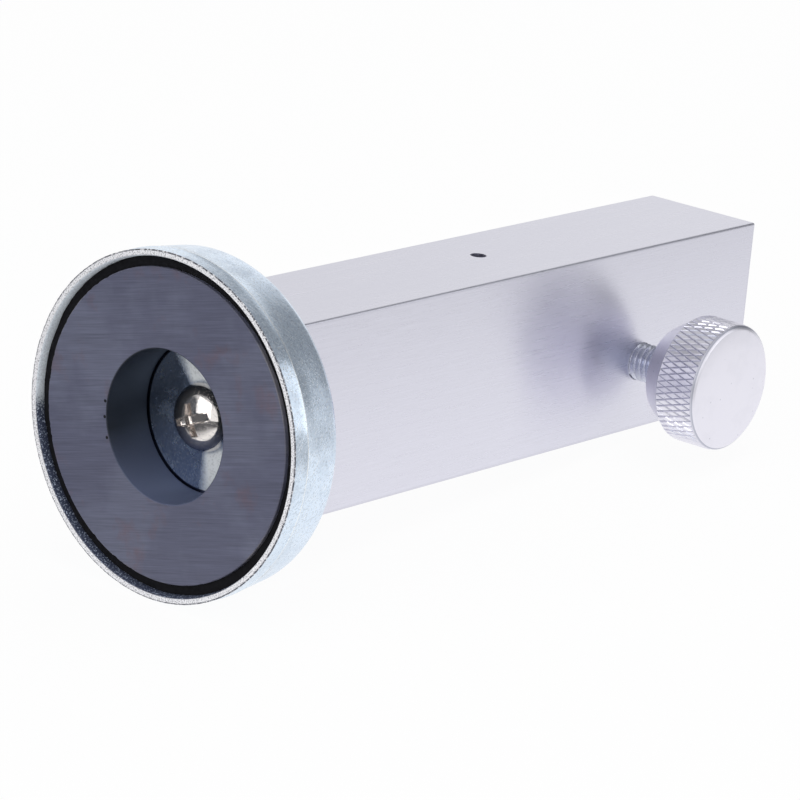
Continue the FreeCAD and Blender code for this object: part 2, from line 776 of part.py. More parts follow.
def make_tip_pad():
    """Domed pad whose stem turns in the stud's tip."""
    disc = rod("pad_disc", "pad_radius", "pad_height", "y", "screw_x", "pad_back", "caster_z")
    ball = doc.addObject("Part::Sphere", "pad_ball")
    bind(ball, "Radius", "pad_dome")
    place(ball, "screw_x", "pad_top - pad_dome", "caster_z")
    stem = rod("pad_stem", "pad_stem_radius", "pad_stem_length", "-y",
               "screw_x", "pad_back", "caster_z")
    return join("Common", "tip_pad", join("Fuse", "pad_blank", disc, stem), ball)


# Return spring: a wire swept along a helix that stands along Y

def make_return_spring():
    helix = doc.addObject("Part::Helix", "spring_helix")
    bind(helix, "Radius", "spring_radius")
    bind(helix, "Pitch", "spring_line / spring_turns")
    bind(helix, "Height", "spring_line")
    wire = doc.addObject("Part::Circle", "spring_wire")
    bind(wire, "Radius", "spring_wire_radius")
    wire.Placement = FreeCAD.Placement(FreeCAD.Vector(0, 0, 0), turns["-y"])
    bind(wire, "Placement.Base.x", "spring_radius")
    sweep = doc.addObject("Part::Sweep", "return_spring")
    sweep.Sections = [wire]
    sweep.Spine = (helix, ["Edge1"])
    sweep.Solid = True
    sweep.Frenet = True
    place(sweep, "spring_x", "spring_floor + spring_end_gap + spring_wire_radius", "caster_z", "y")
    gap = number("spring_line / spring_turns - 2 * spring_wire_radius")
    print("spring: gap between turns %.2f mm" % gap)
    return sweep


nodes = [
    make_magnet_cup(), make_ferrite_ring(), make_magnet_adhesive(), make_magnet_screw(),
    make_body_block(), make_pivot_pin(), make_caster_carrier(), *make_vials(),
    make_scale_plate(), make_plate_screws(), make_thumbscrew_knob(), make_thumbscrew_stud(),
    make_tip_pad(), make_return_spring(),
]
doc.recompute()

for thing in doc.Objects:
    if "Invalid" in thing.State or "Error" in thing.State:
        raise RuntimeError(thing.Label + " failed to compute")
for node in nodes:
    if node.Shape.isNull() or not node.Shape.isValid():
        raise RuntimeError(node.Label + " has no valid solid")
for node in nodes:
    node.Shape.exportStep("parts/" + node.Label + ".step")
    box = node.Shape.BoundBox
    print("%-18s %d solid(s) %10.1f mm3  x %.1f to %.1f  y %.1f to %.1f  z %.1f to %.1f" % (
        node.Label, len(node.Shape.Solids), node.Shape.Volume,
        box.XMin, box.XMax, box.YMin, box.YMax, box.ZMin, box.ZMax))
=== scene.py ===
import json
import math
import random

import bmesh
import bpy
from mathutils import Matrix, Vector, noise


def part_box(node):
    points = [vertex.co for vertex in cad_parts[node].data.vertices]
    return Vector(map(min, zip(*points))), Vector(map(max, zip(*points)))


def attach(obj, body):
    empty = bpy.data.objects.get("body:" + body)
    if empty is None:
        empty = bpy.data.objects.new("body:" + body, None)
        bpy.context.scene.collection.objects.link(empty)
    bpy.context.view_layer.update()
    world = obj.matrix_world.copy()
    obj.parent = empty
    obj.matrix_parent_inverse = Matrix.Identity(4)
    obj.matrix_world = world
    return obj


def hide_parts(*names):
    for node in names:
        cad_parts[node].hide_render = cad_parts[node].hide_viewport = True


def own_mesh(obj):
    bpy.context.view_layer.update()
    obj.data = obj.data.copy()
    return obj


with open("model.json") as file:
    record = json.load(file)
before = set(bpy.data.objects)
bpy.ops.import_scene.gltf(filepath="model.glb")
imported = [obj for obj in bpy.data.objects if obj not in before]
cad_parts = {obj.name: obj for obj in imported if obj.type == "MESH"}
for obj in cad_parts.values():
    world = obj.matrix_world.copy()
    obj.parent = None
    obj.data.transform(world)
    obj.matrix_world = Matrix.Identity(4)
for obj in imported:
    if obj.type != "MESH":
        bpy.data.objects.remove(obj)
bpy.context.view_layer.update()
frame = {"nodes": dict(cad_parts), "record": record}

mm = 0.001


# Nodes of a shader tree

def setSockets(tree, node, values):
    for socket, value in values.items():
        target = node.inputs[socket]
        if isinstance(value, bpy.types.NodeSocket):
            tree.links.new(value, target)
        elif target.type == "RGBA":
            target.default_value = (*value, 1.0)
        else:
            target.default_value = value


def addNode(tree, kind, values=None, **settings):
    node = tree.nodes.new("ShaderNode" + kind)
    for name, value in settings.items():
        setattr(node, name, value)
    setSockets(tree, node, values or {})
    return node


def doMath(tree, operation, first, second=0.0):
    return addNode(tree, "Math", {0: first, 1: second}, operation=operation).outputs[0]


def doNoise(tree, place, scale, detail, rough=0.5):
    return addNode(tree, "TexNoise", {"Vector": place, "Scale": scale, "Detail": detail,
            "Roughness": rough}).outputs["Fac"]


def doVector(tree, operation, first, second=(0.0, 0.0, 0.0)):
    node = addNode(tree, "VectorMath", {0: first, 1: second}, operation=operation)
    return node.outputs["Value" if operation in ("LENGTH", "DISTANCE", "DOT_PRODUCT") else "Vector"]


def times(tree, first, second):
    return doMath(tree, "MULTIPLY", first, second)


def most(tree, first, second):
    return doMath(tree, "MAXIMUM", first, second)


def fade(tree, value, low, high, toLow=0.0, toHigh=1.0):
    node = addNode(tree, "MapRange", {"Value": value, "From Min": low, "From Max": high,
            "To Min": toLow, "To Max": toHigh})
    return node.outputs["Result"]


def mixColour(tree, factor, first, second, blend="MIX"):
    node = addNode(tree, "Mix", {"Factor": factor, 6: first, 7: second}, data_type="RGBA",
            blend_type=blend)
    return node.outputs[2]


def coat(tree, tone, mask, share, colour):
    return mixColour(tree, times(tree, mask, share), tone, colour)


def newGroup(name, inputs, outputs):
    tree = bpy.data.node_groups.new(name, "ShaderNodeTree")
    for label, kind in inputs.items():
        tree.interface.new_socket(label, in_out="INPUT", socket_type="NodeSocket" + kind)
    for label, kind in outputs.items():
        tree.interface.new_socket(label, in_out="OUTPUT", socket_type="NodeSocket" + kind)
    start = tree.nodes.new("NodeGroupInput")
    end = tree.nodes.new("NodeGroupOutput")
    return tree, start.outputs, end.inputs


def useGroup(tree, group, place, **values):
    node = addNode(tree, "Group", {"Vector": place}, node_tree=group)
    setSockets(tree, node, values)
    return node.outputs


# Effects that more than one finish uses

def makeGrainGroup():
    # streaks drawn out along the small axis of Scale, in two sizes
    tree, given, out = newGroup(
        "drawnGrain", {"Vector": "Vector", "Scale": "Vector", "Depth": "Float"},
        {"Shade": "Color", "Height": "Float"})
    stretched = doVector(tree, "MULTIPLY", given["Vector"], given["Scale"])
    coarse = doNoise(tree, stretched, 0.22, 2.0)
    fine = doNoise(tree, stretched, 1.0, 3.0, 0.6)
    both = doMath(tree, "ADD", times(tree, coarse, 0.25), times(tree, fine, 0.75))
    spread = times(tree, doMath(tree, "SUBTRACT", both, 0.5), given["Depth"])
    shade = doMath(tree, "ADD", spread, 1.0)
    tree.links.new(addNode(tree, "CombineColor", {0: shade, 1: shade, 2: shade}).outputs[0],
            out["Shade"])
    tree.links.new(both, out["Height"])
    return tree


def makeScratchGroup():
    # sparse fine lines in two slanting directions
    tree, given, out = newGroup(
        "fineScratches", {"Vector": "Vector", "Scale": "Float", "Threshold": "Float"},
        {"Mask": "Float"})
    masks = []
    for turn in ((0.4, 0.9, 0.3), (-0.7, 0.2, 1.1)):
        turned = addNode(tree, "Mapping", {"Vector": given["Vector"], "Rotation": turn})
        drawn = doVector(tree, "MULTIPLY", turned.outputs[0], (1.0, 40.0, 40.0))
        sized = addNode(tree, "VectorMath", {0: drawn, "Scale": given["Scale"]}, operation="SCALE")
        line = doNoise(tree, sized.outputs[0], 1.0, 1.0)
        over = doMath(tree, "SUBTRACT", line, given["Threshold"])
        masks.append(fade(tree, over, 0.0, 0.04))
    tree.links.new(most(tree, masks[0], masks[1]), out["Mask"])
    return tree


def makeSpeckGroup():
    # small round specks, of which Share keeps a part
    tree, given, out = newGroup(
        "dustSpecks", {"Vector": "Vector", "Scale": "Float", "Size": "Float", "Share": "Float"},
        {"Mask": "Float"})
    cells = addNode(tree, "TexVoronoi", {"Vector": given["Vector"], "Scale": given["Scale"]})
    near = doMath(tree, "LESS_THAN", cells.outputs["Distance"], given["Size"])
    picked = addNode(tree, "SeparateColor", {0: cells.outputs["Color"]}).outputs[0]
    kept = doMath(tree, "LESS_THAN", picked, given["Share"])
    tree.links.new(times(tree, near, kept), out["Mask"])
    return tree


def makeStainGroup():
    # soft cloudy blotches
    tree, given, out = newGroup(
        "softStains", {"Vector": "Vector", "Scale": "Float", "Threshold": "Float"},
        {"Mask": "Float"})
    cloud = doNoise(tree, given["Vector"], given["Scale"], 4.0, 0.62)
    over = doMath(tree, "SUBTRACT", cloud, given["Threshold"])
    tree.links.new(fade(tree, over, 0.0, 0.14), out["Mask"])
    return tree


def makeRadiusGroup():
    # place and distance from an axis through Centre; Across is 0 along that axis
    tree, given, out = newGroup(
        "roundPlace", {"Vector": "Vector", "Centre": "Vector", "Across": "Vector"},
        {"Radius": "Float", "X": "Float", "Y": "Float", "Z": "Float"})
    moved = doVector(tree, "SUBTRACT", given["Vector"], given["Centre"])
    flat = doVector(tree, "MULTIPLY", moved, given["Across"])
    tree.links.new(doVector(tree, "LENGTH", flat), out["Radius"])
    places = addNode(tree, "SeparateXYZ", {0: moved})
    for i, label in enumerate("XYZ"):
        tree.links.new(places.outputs[i], out[label])
    return tree


def makeEdgeGroup():
    # mask along the edges of a box given by its centre and half sizes
    tree, given, out = newGroup(
        "boxEdges", {"Vector": "Vector", "Centre": "Vector", "Half": "Vector", "Width": "Float"},
        {"Mask": "Float"})
    moved = doVector(tree, "SUBTRACT", given["Vector"], given["Centre"])
    folded = doVector(tree, "ABSOLUTE", moved)
    inset = doVector(tree, "SUBTRACT", given["Half"], folded)
    x, y, z = addNode(tree, "SeparateXYZ", {0: inset}).outputs
    pairs = [most(tree, first, second) for first, second in ((x, y), (y, z), (x, z))]
    nearest = doMath(tree, "MINIMUM", doMath(tree, "MINIMUM", pairs[0], pairs[1]), pairs[2])
    share = doMath(tree, "DIVIDE", nearest, given["Width"])
    tree.links.new(fade(tree, share, 0.35, 1.0, 1.0, 0.0), out["Mask"])
    return tree


drawnGrain = makeGrainGroup()
fineScratches = makeScratchGroup()
dustSpecks = makeSpeckGroup()
softStains = makeStainGroup()
roundPlace = makeRadiusGroup()
boxEdges = makeEdgeGroup()
print("shader groups made")


# Finishes

def newFinish(name, **sockets):
    material = bpy.data.materials.new(name)
    material.use_nodes = True
    tree = material.node_tree
    shader = tree.nodes["Principled BSDF"]
    for label, value in sockets.items():
        shader.inputs[label.replace("_", " ")].default_value = value
    place = addNode(tree, "TexCoord").outputs["Object"]
    return material, tree, shader, place


def drive(shader, label, value):
    shader.id_data.links.new(value, shader.inputs[label])


def setBump(tree, shader, height, distance):
    bump = addNode(tree, "Bump", {"Height": height, "Distance": distance, "Strength": 1.0})
    drive(shader, "Normal", bump.outputs[0])


def edgesOf(node, tree, place, width):
    low, high = (Vector(corner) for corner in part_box(node))
    return useGroup(tree, boxEdges, place, Centre=(high + low) / 2, Half=(high - low) / 2,
            Width=width)["Mask"]


def brushAcross(tree, shader, share, turned=False):
    # brushed round or along X, so that gloss spreads across the brush marks
    tangent = addNode(tree, "Tangent", direction_type="RADIAL", axis="X")
    drive(shader, "Tangent", tangent.outputs[0])
    shader.inputs["Anisotropic"].default_value = share
    shader.inputs["Anisotropic Rotation"].default_value = 0.25 if turned else 0.0


def barFinish():
    look = {
        "colour": (0.765, 0.762, 0.852), "edge": (0.60, 0.60, 0.68),
        "grain": (120.0, 7000.0, 7000.0), "shadeDepth": 0.30, "bump": 0.000004,
        "rough": (0.25, 0.34), "edgeWidth": 0.0008, "brushed": 0.9,
    }
    material, tree, shader, place = newFinish("brushedBar", Metallic=1.0)
    grain = useGroup(tree, drawnGrain, place, Scale=look["grain"], Depth=look["shadeDepth"])
    shaded = mixColour(tree, 1.0, look["colour"], grain["Shade"], "MULTIPLY")
    # painted reflection: the bar's edges are painted darker, as the dark line mirrored in their
    # rounding
    edges = edgesOf("body_block", tree, place, look["edgeWidth"])
    drive(shader, "Base Color", coat(tree, shaded, edges, 0.5, look["edge"]))
    drive(shader, "Roughness", fade(tree, grain["Height"], 0.3, 0.7, *look["rough"]))
    setBump(tree, shader, grain["Height"], look["bump"])
    brushAcross(tree, shader, look["brushed"])
    return material


def milledFinish(name, colour):
    # end milled or sawn aluminium that shows only inside and through the windows
    look = {"grain": (900.0, 60.0, 2200.0), "depth": 0.3, "bump": 0.00001}
    material, tree, shader, place = newFinish(name, Metallic=1.0, Roughness=0.38)
    grain = useGroup(tree, drawnGrain, place, Scale=look["grain"], Depth=look["depth"])
    drive(shader, "Base Color", mixColour(tree, 1.0, colour, grain["Shade"], "MULTIPLY"))
    setBump(tree, shader, grain["Height"], look["bump"])
    return material


def cupFinish():
    look = {
        "front": (0.73, 0.84, 0.97), "back": (0.74, 0.85, 0.99), "throat": (0.87, 0.94, 1.0),
        "nearBlack": (0.038, 0.048, 0.088), "spark": (0.70, 0.80, 1.0),
        "sheared": (0.97, 0.97, 1.0), "throatTurn": (-0.0048, -0.0012),
        "dark": (0.05, 0.055, 0.08), "inside": (0.44, 0.56, 0.80),
        "pale": (0.94, 0.98, 1.0), "highlightAndScratches": (0.93, 0.96, 0.98),
        # places of the painted highlight lines on the wall's crease and the turn into the back,
        # each with half its line's width
        "lines": ((0.0035, 0.0002), (0.0130, 0.0004)), "backStart": 0.010,
        "rimFlat": 0.03236, "throatFoot": (0.0024, 0.0026), "corner": 0.03320, "rimInner": 0.0317,
        "footRingAt": (0.01415, 0.01435), "paintedHighlight": (0.0058, 0.0072), "innerEnd": 0.0132,
        "rough": (0.22, 0.32), "bump": 0.00006, "scratch": 0.62, "brushed": 0.45,
        # the way each painted highlight fan lies from the screw, in Y and Z
        "fans": ((0.0, 0.27, 0.963), (0.0, -0.40, -0.917)), "fanEdge": (0.90, 0.975),
    }
    material, tree, shader, place = newFinish("zincCup", Metallic=1.0)
    spot = useGroup(tree, roundPlace, place, Across=(0.0, 1.0, 1.0))
    along, radius = spot["X"], spot["Radius"]
    tone = mixColour(tree, fade(tree, along, look["lines"][0][0], look["backStart"]),
            look["front"], look["back"])
    # painted highlights: bright lines where the wall is creased and where it turns into the back
    for line, width in look["lines"]:
        away = doMath(tree, "ABSOLUTE", doMath(tree, "SUBTRACT", along, line))
        tone = mixColour(tree, fade(tree, away, width * 0.4, width, 0.8, 0.0), tone, look["highlightAndScratches"])
    # painted shade: the cup's inside is painted darker and bluer than its outside
    within = times(tree, fade(tree, radius, look["rimInner"] - 0.0002, look["rimInner"], 1.0, 0.0),
            doMath(tree, "LESS_THAN", along, look["innerEnd"]))
    tone = mixColour(tree, within, tone, look["inside"])
    stains = useGroup(tree, softStains, place, Scale=160.0, Threshold=0.47)["Mask"]
    tone = coat(tree, tone, stains, 0.06, look["dark"])
    scratches = useGroup(tree, fineScratches, place, Scale=90.0, Threshold=look["scratch"])["Mask"]
    tone = coat(tree, tone, scratches, 0.4, look["highlightAndScratches"])
    specks = useGroup(tree, dustSpecks, place, Scale=1500.0, Size=0.30, Share=0.10)["Mask"]
    tone = coat(tree, tone, times(tree, specks, within), 0.7, look["highlightAndScratches"])
    # painted highlight: pale in two fans beside the screw
    bearing = doVector(tree, "NORMALIZE", doVector(tree, "MULTIPLY", place, (0.0, 1.0, 1.0)))
    fans = [fade(tree, doVector(tree, "DOT_PRODUCT", bearing, way), *look["fanEdge"])
            for way in look["fans"]]
    paintedHighlight = times(tree, times(tree, most(tree, *fans), within),
            fade(tree, radius, *look["paintedHighlight"], 0.0, 0.95))
    tone = mixColour(tree, paintedHighlight, tone, look["pale"])
    # a dark ring on the cup's floor round the magnet's foot
    footRing = times(tree, fade(tree, radius, *look["footRingAt"]), within)
    tone = mixColour(tree, footRing, tone, look["nearBlack"])
    # fine sandy grain of the plating on the outside
    sand = doNoise(tree, place, 2300.0, 2.0)
    tone = mixColour(tree, fade(tree, sand, 0.50, 0.68, 0.0, 0.22), tone, look["dark"])
    # throat between the rim and the filling, grainy: painted light on its upper part, painted shade
    # with painted glints as bright sparks on its lower part
    grit = doNoise(tree, place, 3200.0, 3.0, 0.7)
    inThroat = times(tree, fade(tree, along, *look["throatFoot"], 1.0, 0.0),
            doMath(tree, "LESS_THAN", radius, look["rimFlat"]))
    sparks = fade(tree, grit, 0.56, 0.64, 0.0, 0.8)
    shadedWithGlints = mixColour(tree, sparks, look["nearBlack"], look["spark"])
    lit = mixColour(tree, fade(tree, grit, 0.42, 0.56, 0.0, 0.25), look["throat"], look["dark"])
    uneven = doMath(tree, "ADD", spot["Z"], fade(tree, grit, 0.3, 0.7, -0.0025, 0.0025))
    inner = mixColour(tree, fade(tree, uneven, *look["throatTurn"]), shadedWithGlints, lit)
    tone = mixColour(tree, inThroat, tone, inner)
    # sheared edge of the sheet, silvery, with a dark broken line along its outer corner
    onFlat = times(tree, fade(tree, along, 0.00012, 0.00025, 1.0, 0.0),
            fade(tree, radius, look["rimFlat"] - 0.0001, look["rimFlat"]))
    grainy = mixColour(tree, fade(tree, grit, 0.50, 0.60, 0.0, 0.60), look["sheared"], look["dark"])
    darkCornerLine = times(tree, fade(tree, radius, look["corner"] - 0.00008, look["corner"]),
            fade(tree, sand, 0.40, 0.50, 0.25, 0.95))
    grainy = mixColour(tree, darkCornerLine, grainy, look["dark"])
    drive(shader, "Base Color", mixColour(tree, onFlat, tone, grainy))
    coarse = most(tree, times(tree, onFlat, 0.30), times(tree, inThroat, 0.20))
    coarse = most(tree, coarse, times(tree, paintedHighlight, 0.20))
    rough = fade(tree, stains, 0.0, 1.0, *look["rough"])
    drive(shader, "Roughness", doMath(tree, "ADD", coarse, rough))
    dull = most(tree, times(tree, onFlat, 0.80), times(tree, inThroat, 0.85))
    dull = most(tree, dull, paintedHighlight)
    drive(shader, "Metallic", fade(tree, dull, 0.0, 1.0, 1.0, 0.0))
    sheared = most(tree, onFlat, times(tree, inThroat, 0.5))
    height = doMath(tree, "ADD", times(tree, grit, sheared), times(tree, scratches, -0.10))
    setBump(tree, shader, height, look["bump"])
    brushAcross(tree, shader, look["brushed"], turned=True)
    return material


def ferriteFinish():
    look = {
        "colour": (0.098, 0.104, 0.160), "stain": (0.135, 0.086, 0.105),
        "bore": (0.016, 0.021, 0.031), "boreFoot": (0.100, 0.120, 0.200),
        "pale": (0.158, 0.172, 0.240), "edge": (0.26, 0.235, 0.225),
        "black": (0.004, 0.004, 0.005),
        "grindTurn": (math.radians(14.4), 0.0, 0.0), "grind": (900.0, 90.0, 4200.0),
        "depth": 1.20, "boreRadius": 0.01475, "outer": 0.0298, "bump": 0.00001,
        "pits": ((0.0011, 0.01519, 0.00114), (0.0011, 0.01506, -0.00192),
                 (0.0011, 0.01413, -0.00579)), "pitSize": 0.00038,
    }
    material, tree, shader, place = newFinish("groundFerrite", Roughness=0.46,
            Specular_IOR_Level=0.35)
    turned = addNode(tree, "Mapping", {"Vector": place, "Rotation": look["grindTurn"]})
    grain = useGroup(tree, drawnGrain, turned.outputs[0], Scale=look["grind"], Depth=look["depth"])
    clouds = useGroup(tree, softStains, place, Scale=45.0, Threshold=0.44)["Mask"]
    rust = useGroup(tree, softStains, turned.outputs[0], Scale=120.0, Threshold=0.57)["Mask"]
    tone = coat(tree, look["colour"], clouds, 0.35, look["pale"])
    tone = coat(tree, tone, rust, 0.5, look["stain"])
    tone = mixColour(tree, 1.0, tone, grain["Shade"], "MULTIPLY")
    spot = useGroup(tree, roundPlace, place, Across=(0.0, 1.0, 1.0))
    rim = times(tree, fade(tree, spot["Radius"], look["outer"], look["outer"] + 0.0001),
            fade(tree, clouds, 0.0, 1.0, 0.1, 0.5))
    tone = mixColour(tree, rim, tone, look["edge"])
    for pit in look["pits"]:
        away = doVector(tree, "DISTANCE", place, pit)
        tone = mixColour(tree, fade(tree, away, look["pitSize"] * 0.7, look["pitSize"], 1.0, 0.0),
                tone, look["black"])
    # the bore is darker, and paler again low down where it faces the light
    inBore = fade(tree, spot["Radius"], look["boreRadius"], look["boreRadius"] + 0.0002, 1.0, 0.0)
    wall = mixColour(tree, fade(tree, spot["Z"], -0.004, -0.014), look["bore"], look["boreFoot"])
    tone = mixColour(tree, inBore, tone, wall)
    drive(shader, "Base Color", tone)
    drive(shader, "Roughness", fade(tree, inBore, 0.0, 1.0, 0.46, 0.36))
    setBump(tree, shader, grain["Height"], look["bump"])
    return material


def fillingFinish():
    material, tree, shader, place = newFinish("castFilling", Roughness=0.8, Specular_IOR_Level=0.15)
    lumps = doNoise(tree, place, 900.0, 4.0)
    tone = mixColour(tree, lumps, (0.002, 0.002, 0.003), (0.012, 0.012, 0.015))
    drive(shader, "Base Color", tone)
    setBump(tree, shader, lumps, 0.0001)
    return material


def plainSteelFinish(name, colour, rough, specks=0.12):
    # bright or ground steel with faint mottling and a few hairline scratches
    material, tree, shader, place = newFinish(name, Metallic=1.0)
    mottle = useGroup(tree, softStains, place, Scale=420.0, Threshold=0.45)["Mask"]
    dark = tuple(channel * 0.62 for channel in colour)
    tone = coat(tree, colour, mottle, specks, dark)
    lines = useGroup(tree, fineScratches, place, Scale=160.0, Threshold=0.64)["Mask"]
    tone = coat(tree, tone, lines, 0.25, dark)
    drive(shader, "Base Color", tone)
    drive(shader, "Roughness", fade(tree, mottle, 0.0, 1.0, rough, rough + 0.10))
    setBump(tree, shader, lines, 0.000006)
    return material


def knobFinish():
    look = {
        "colour": (0.83, 0.82, 0.90), "dark": (0.42, 0.43, 0.50),
        "groove": (0.34, 0.36, 0.45), "grooveAt": (0.01290, 0.01306),
        "knurlBack": -0.0274, "knurlRadius": 0.01268, "turning": 5200.0, "bump": 0.000002,
    }
    material, tree, shader, place = newFinish("turnedKnob", Metallic=1.0)
    spot = useGroup(tree, roundPlace, place, Centre=thumbscrewCentre, Across=(1.0, 0.0, 1.0))
    # turning marks: rings on the face, hoops on the shoulder
    rings = addNode(tree, "CombineXYZ", {0: times(tree, spot["Radius"], look["turning"]),
            1: times(tree, spot["Y"], look["turning"])})
    marks = doNoise(tree, rings.outputs[0], 1.0, 2.0)
    specks = useGroup(tree, dustSpecks, place, Scale=900.0, Size=0.16, Share=0.10)["Mask"]
    clouds = useGroup(tree, softStains, place, Scale=260.0, Threshold=0.5)["Mask"]
    tone = mixColour(tree, fade(tree, marks, 0.35, 0.65, 0.0, 0.03), look["colour"], look["dark"])
    tone = coat(tree, tone, clouds, 0.05, look["dark"])
    tone = coat(tree, tone, specks, 0.45, look["dark"])
    # painted shade in the bottoms of the knurl's grooves
    outer = doMath(tree, "GREATER_THAN", spot["Radius"], look["knurlRadius"])
    behind = doMath(tree, "LESS_THAN", spot["Y"], look["knurlBack"])
    low = fade(tree, spot["Radius"], *look["grooveAt"], 0.65, 0.0)
    grooved = times(tree, times(tree, outer, behind), low)
    tone = mixColour(tree, grooved, tone, look["groove"])
    drive(shader, "Base Color", tone)
    drive(shader, "Roughness", fade(tree, marks, 0.3, 0.7, 0.28, 0.31))
    setBump(tree, shader, marks, look["bump"])
    return material


def plateFinish():
    material, tree, shader, place = newFinish("blackPlate", Roughness=0.42)
    grain = useGroup(tree, drawnGrain, place, Scale=(60.0, 900.0, 2600.0), Depth=0.5)
    tone = mixColour(tree, 1.0, (0.022, 0.022, 0.026), grain["Shade"], "MULTIPLY")
    lines = useGroup(tree, fineScratches, place, Scale=70.0, Threshold=0.66)["Mask"]
    tone = coat(tree, tone, lines, 0.12, (0.16, 0.16, 0.17))
    edges = edgesOf("scale_plate", tree, place, 0.00035)
    tone = coat(tree, tone, edges, 0.7, (0.22, 0.22, 0.23))
    drive(shader, "Base Color", tone)
    setBump(tree, shader, grain["Height"], 0.000008)
    return material


def softFinish(name, colour, dark, scale, rough, bump):
    # cast, moulded or printed matter with a fine even texture
    material, tree, shader, place = newFinish(name, Roughness=rough)
    pores = doNoise(tree, place, scale, 4.0, 0.65)
    clouds = useGroup(tree, softStains, place, Scale=scale * 0.12, Threshold=0.48)["Mask"]
    tone = mixColour(tree, fade(tree, pores, 0.42, 0.62), dark, colour)
    tone = coat(tree, tone, clouds, 0.3, dark)
    drive(shader, "Base Color", tone)
    setBump(tree, shader, pores, bump)
    return material


def clearFinish(name, colour, refraction):
    material, tree, shader, place = newFinish(name, Transmission_Weight=1.0, IOR=refraction)
    wisps = doNoise(tree, place, 260.0, 2.0)
    pale = tuple(0.5 + 0.5 * channel for channel in colour)
    tone = mixColour(tree, fade(tree, wisps, 0.35, 0.65, 0.0, 0.15), colour, pale)
    drive(shader, "Base Color", tone)
    drive(shader, "Roughness", fade(tree, wisps, 0.4, 0.6, 0.0, 0.02))
    return material


thumbscrewCentre = (0.131, 0.0, -0.005)
finishes = {
    "bar_aluminium": barFinish(),
    "cup_steel": cupFinish(),
    "ferrite": ferriteFinish(),
    "magnet_filling": fillingFinish(),
    "screw_steel": plainSteelFinish("nickelScrew", (0.83, 0.79, 0.765), 0.06, 0.04),
    "pin_steel": plainSteelFinish("groundPin", (0.30, 0.31, 0.33), 0.30),
    "carrier_aluminium": milledFinish("milledCarrier", (0.66, 0.66, 0.69)),
    "vial_glass": clearFinish("vialGlass", (0.97, 0.99, 0.98), 1.50),
    "vial_plug": softFinish("vialPlug", (0.80, 0.80, 0.76), (0.62, 0.62, 0.58),
                            1800.0, 0.5, 0.00002),
    "vial_spirit": clearFinish("vialSpirit", (0.84, 0.98, 0.30), 1.36),
    "setting_compound": softFinish("settingCompound", (0.80, 0.79, 0.75),
                                   (0.60, 0.585, 0.54), 2400.0, 0.85, 0.00008),
    "plate_anodised": plateFinish(),
    "plate_screw_steel": plainSteelFinish("plateScrewSteel", (0.50, 0.50, 0.52), 0.24),
    "knob_aluminium": knobFinish(),
    "pad_brass": plainSteelFinish("padBrass", (0.72, 0.50, 0.18), 0.26),
    "spring_steel": plainSteelFinish("springWire", (0.42, 0.42, 0.44), 0.28),
}
studSteel = plainSteelFinish("zincStud", (0.60, 0.62, 0.72), 0.20, 0.2)
scaleWhite = softFinish("scaleWhite", (0.80, 0.80, 0.78), (0.66, 0.66, 0.64), 4200.0, 0.55,
        0.000006)
hairlineBlack = softFinish("hairlineBlack", (0.02, 0.02, 0.022), (0.008, 0.008, 0.009), 4200.0, 0.5,
        0.000006)
print("finishes made")

slots = {part["node"]: part["material_slot"] for part in frame["record"]["subparts"]}
for name, node in frame["nodes"].items():
    for place in node.material_slots:
        place.material = finishes[slots[name]]


# Mesh helpers

def placeMesh(name, bm):
    mesh = bpy.data.meshes.new(name)
    bm.to_mesh(mesh)
    bm.free()
    thing = bpy.data.objects.new(name, mesh)
    bpy.context.scene.collection.objects.link(thing)
    return thing


def addPart(bm, part):
    mesh = bpy.data.meshes.new("part")
    part.to_mesh(mesh)
    part.free()
    bm.from_mesh(mesh)
    bpy.data.meshes.remove(mesh)


def finishPiece(name, bm, body, slotName, material=None, sharpAngle=35.0):
    for edge in bm.edges:
        edge.smooth = edge.calc_face_angle(0.0) < math.radians(sharpAngle)
    for face in bm.faces:
        face.smooth = True
    piece = placeMesh(name, bm)
    piece.data.materials.append(material or finishes[slotName])
    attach(piece, body)
    return piece


def faceOutward(bm):
    bmesh.ops.recalc_face_normals(bm, faces=bm.faces)


def closeMesh(bm, gap=0.000001):
    bmesh.ops.remove_doubles(bm, verts=bm.verts, dist=gap)
    faceOutward(bm)


def spinProfile(points, steps, axis="X", closed=False):
    # points are (along the axis, radius) in millimetres
    bm = bmesh.new()
    if axis == "X":
        verts = [bm.verts.new((along * mm, 0.0, radius * mm)) for along, radius in points]
        line = (1.0, 0.0, 0.0)
    else:
        verts = [bm.verts.new((radius * mm, along * mm, 0.0)) for along, radius in points]
        line = (0.0, 1.0, 0.0)
    edges = [bm.edges.new(pair) for pair in zip(verts, verts[1:])]
    if closed:
        edges.append(bm.edges.new((verts[-1], verts[0])))
    bmesh.ops.spin(bm, geom=verts + edges, axis=line, cent=(0.0, 0.0, 0.0), angle=math.tau,
            steps=steps, use_merge=True)
    closeMesh(bm)
    return bm


def ringEdges(bm, along, radius, axis="X", slack=0.00002):
    # edges of the hoop at the given place, in millimetres
    index = "XYZ".index(axis)
    found = []
    for edge in bm.edges:
        hits = 0
        for vert in edge.verts:
            spot = vert.co.copy()
            reach = spot[index]
            spot[index] = 0.0
            if abs(reach - along * mm) < slack and abs(spot.length - radius * mm) < slack:
                hits += 1
        if hits == 2:
            found.append(edge)
    return found


def roundRings(bm, places, axis="X"):
    for along, radius, offset, segments in places:
        bmesh.ops.bevel(bm, geom=ringEdges(bm, along, radius, axis), offset=offset * mm,
                affect="EDGES", segments=segments, profile=0.5, material=-1)


# Magnet cup: sheared lip, straight band, crease, tapering wall and floor

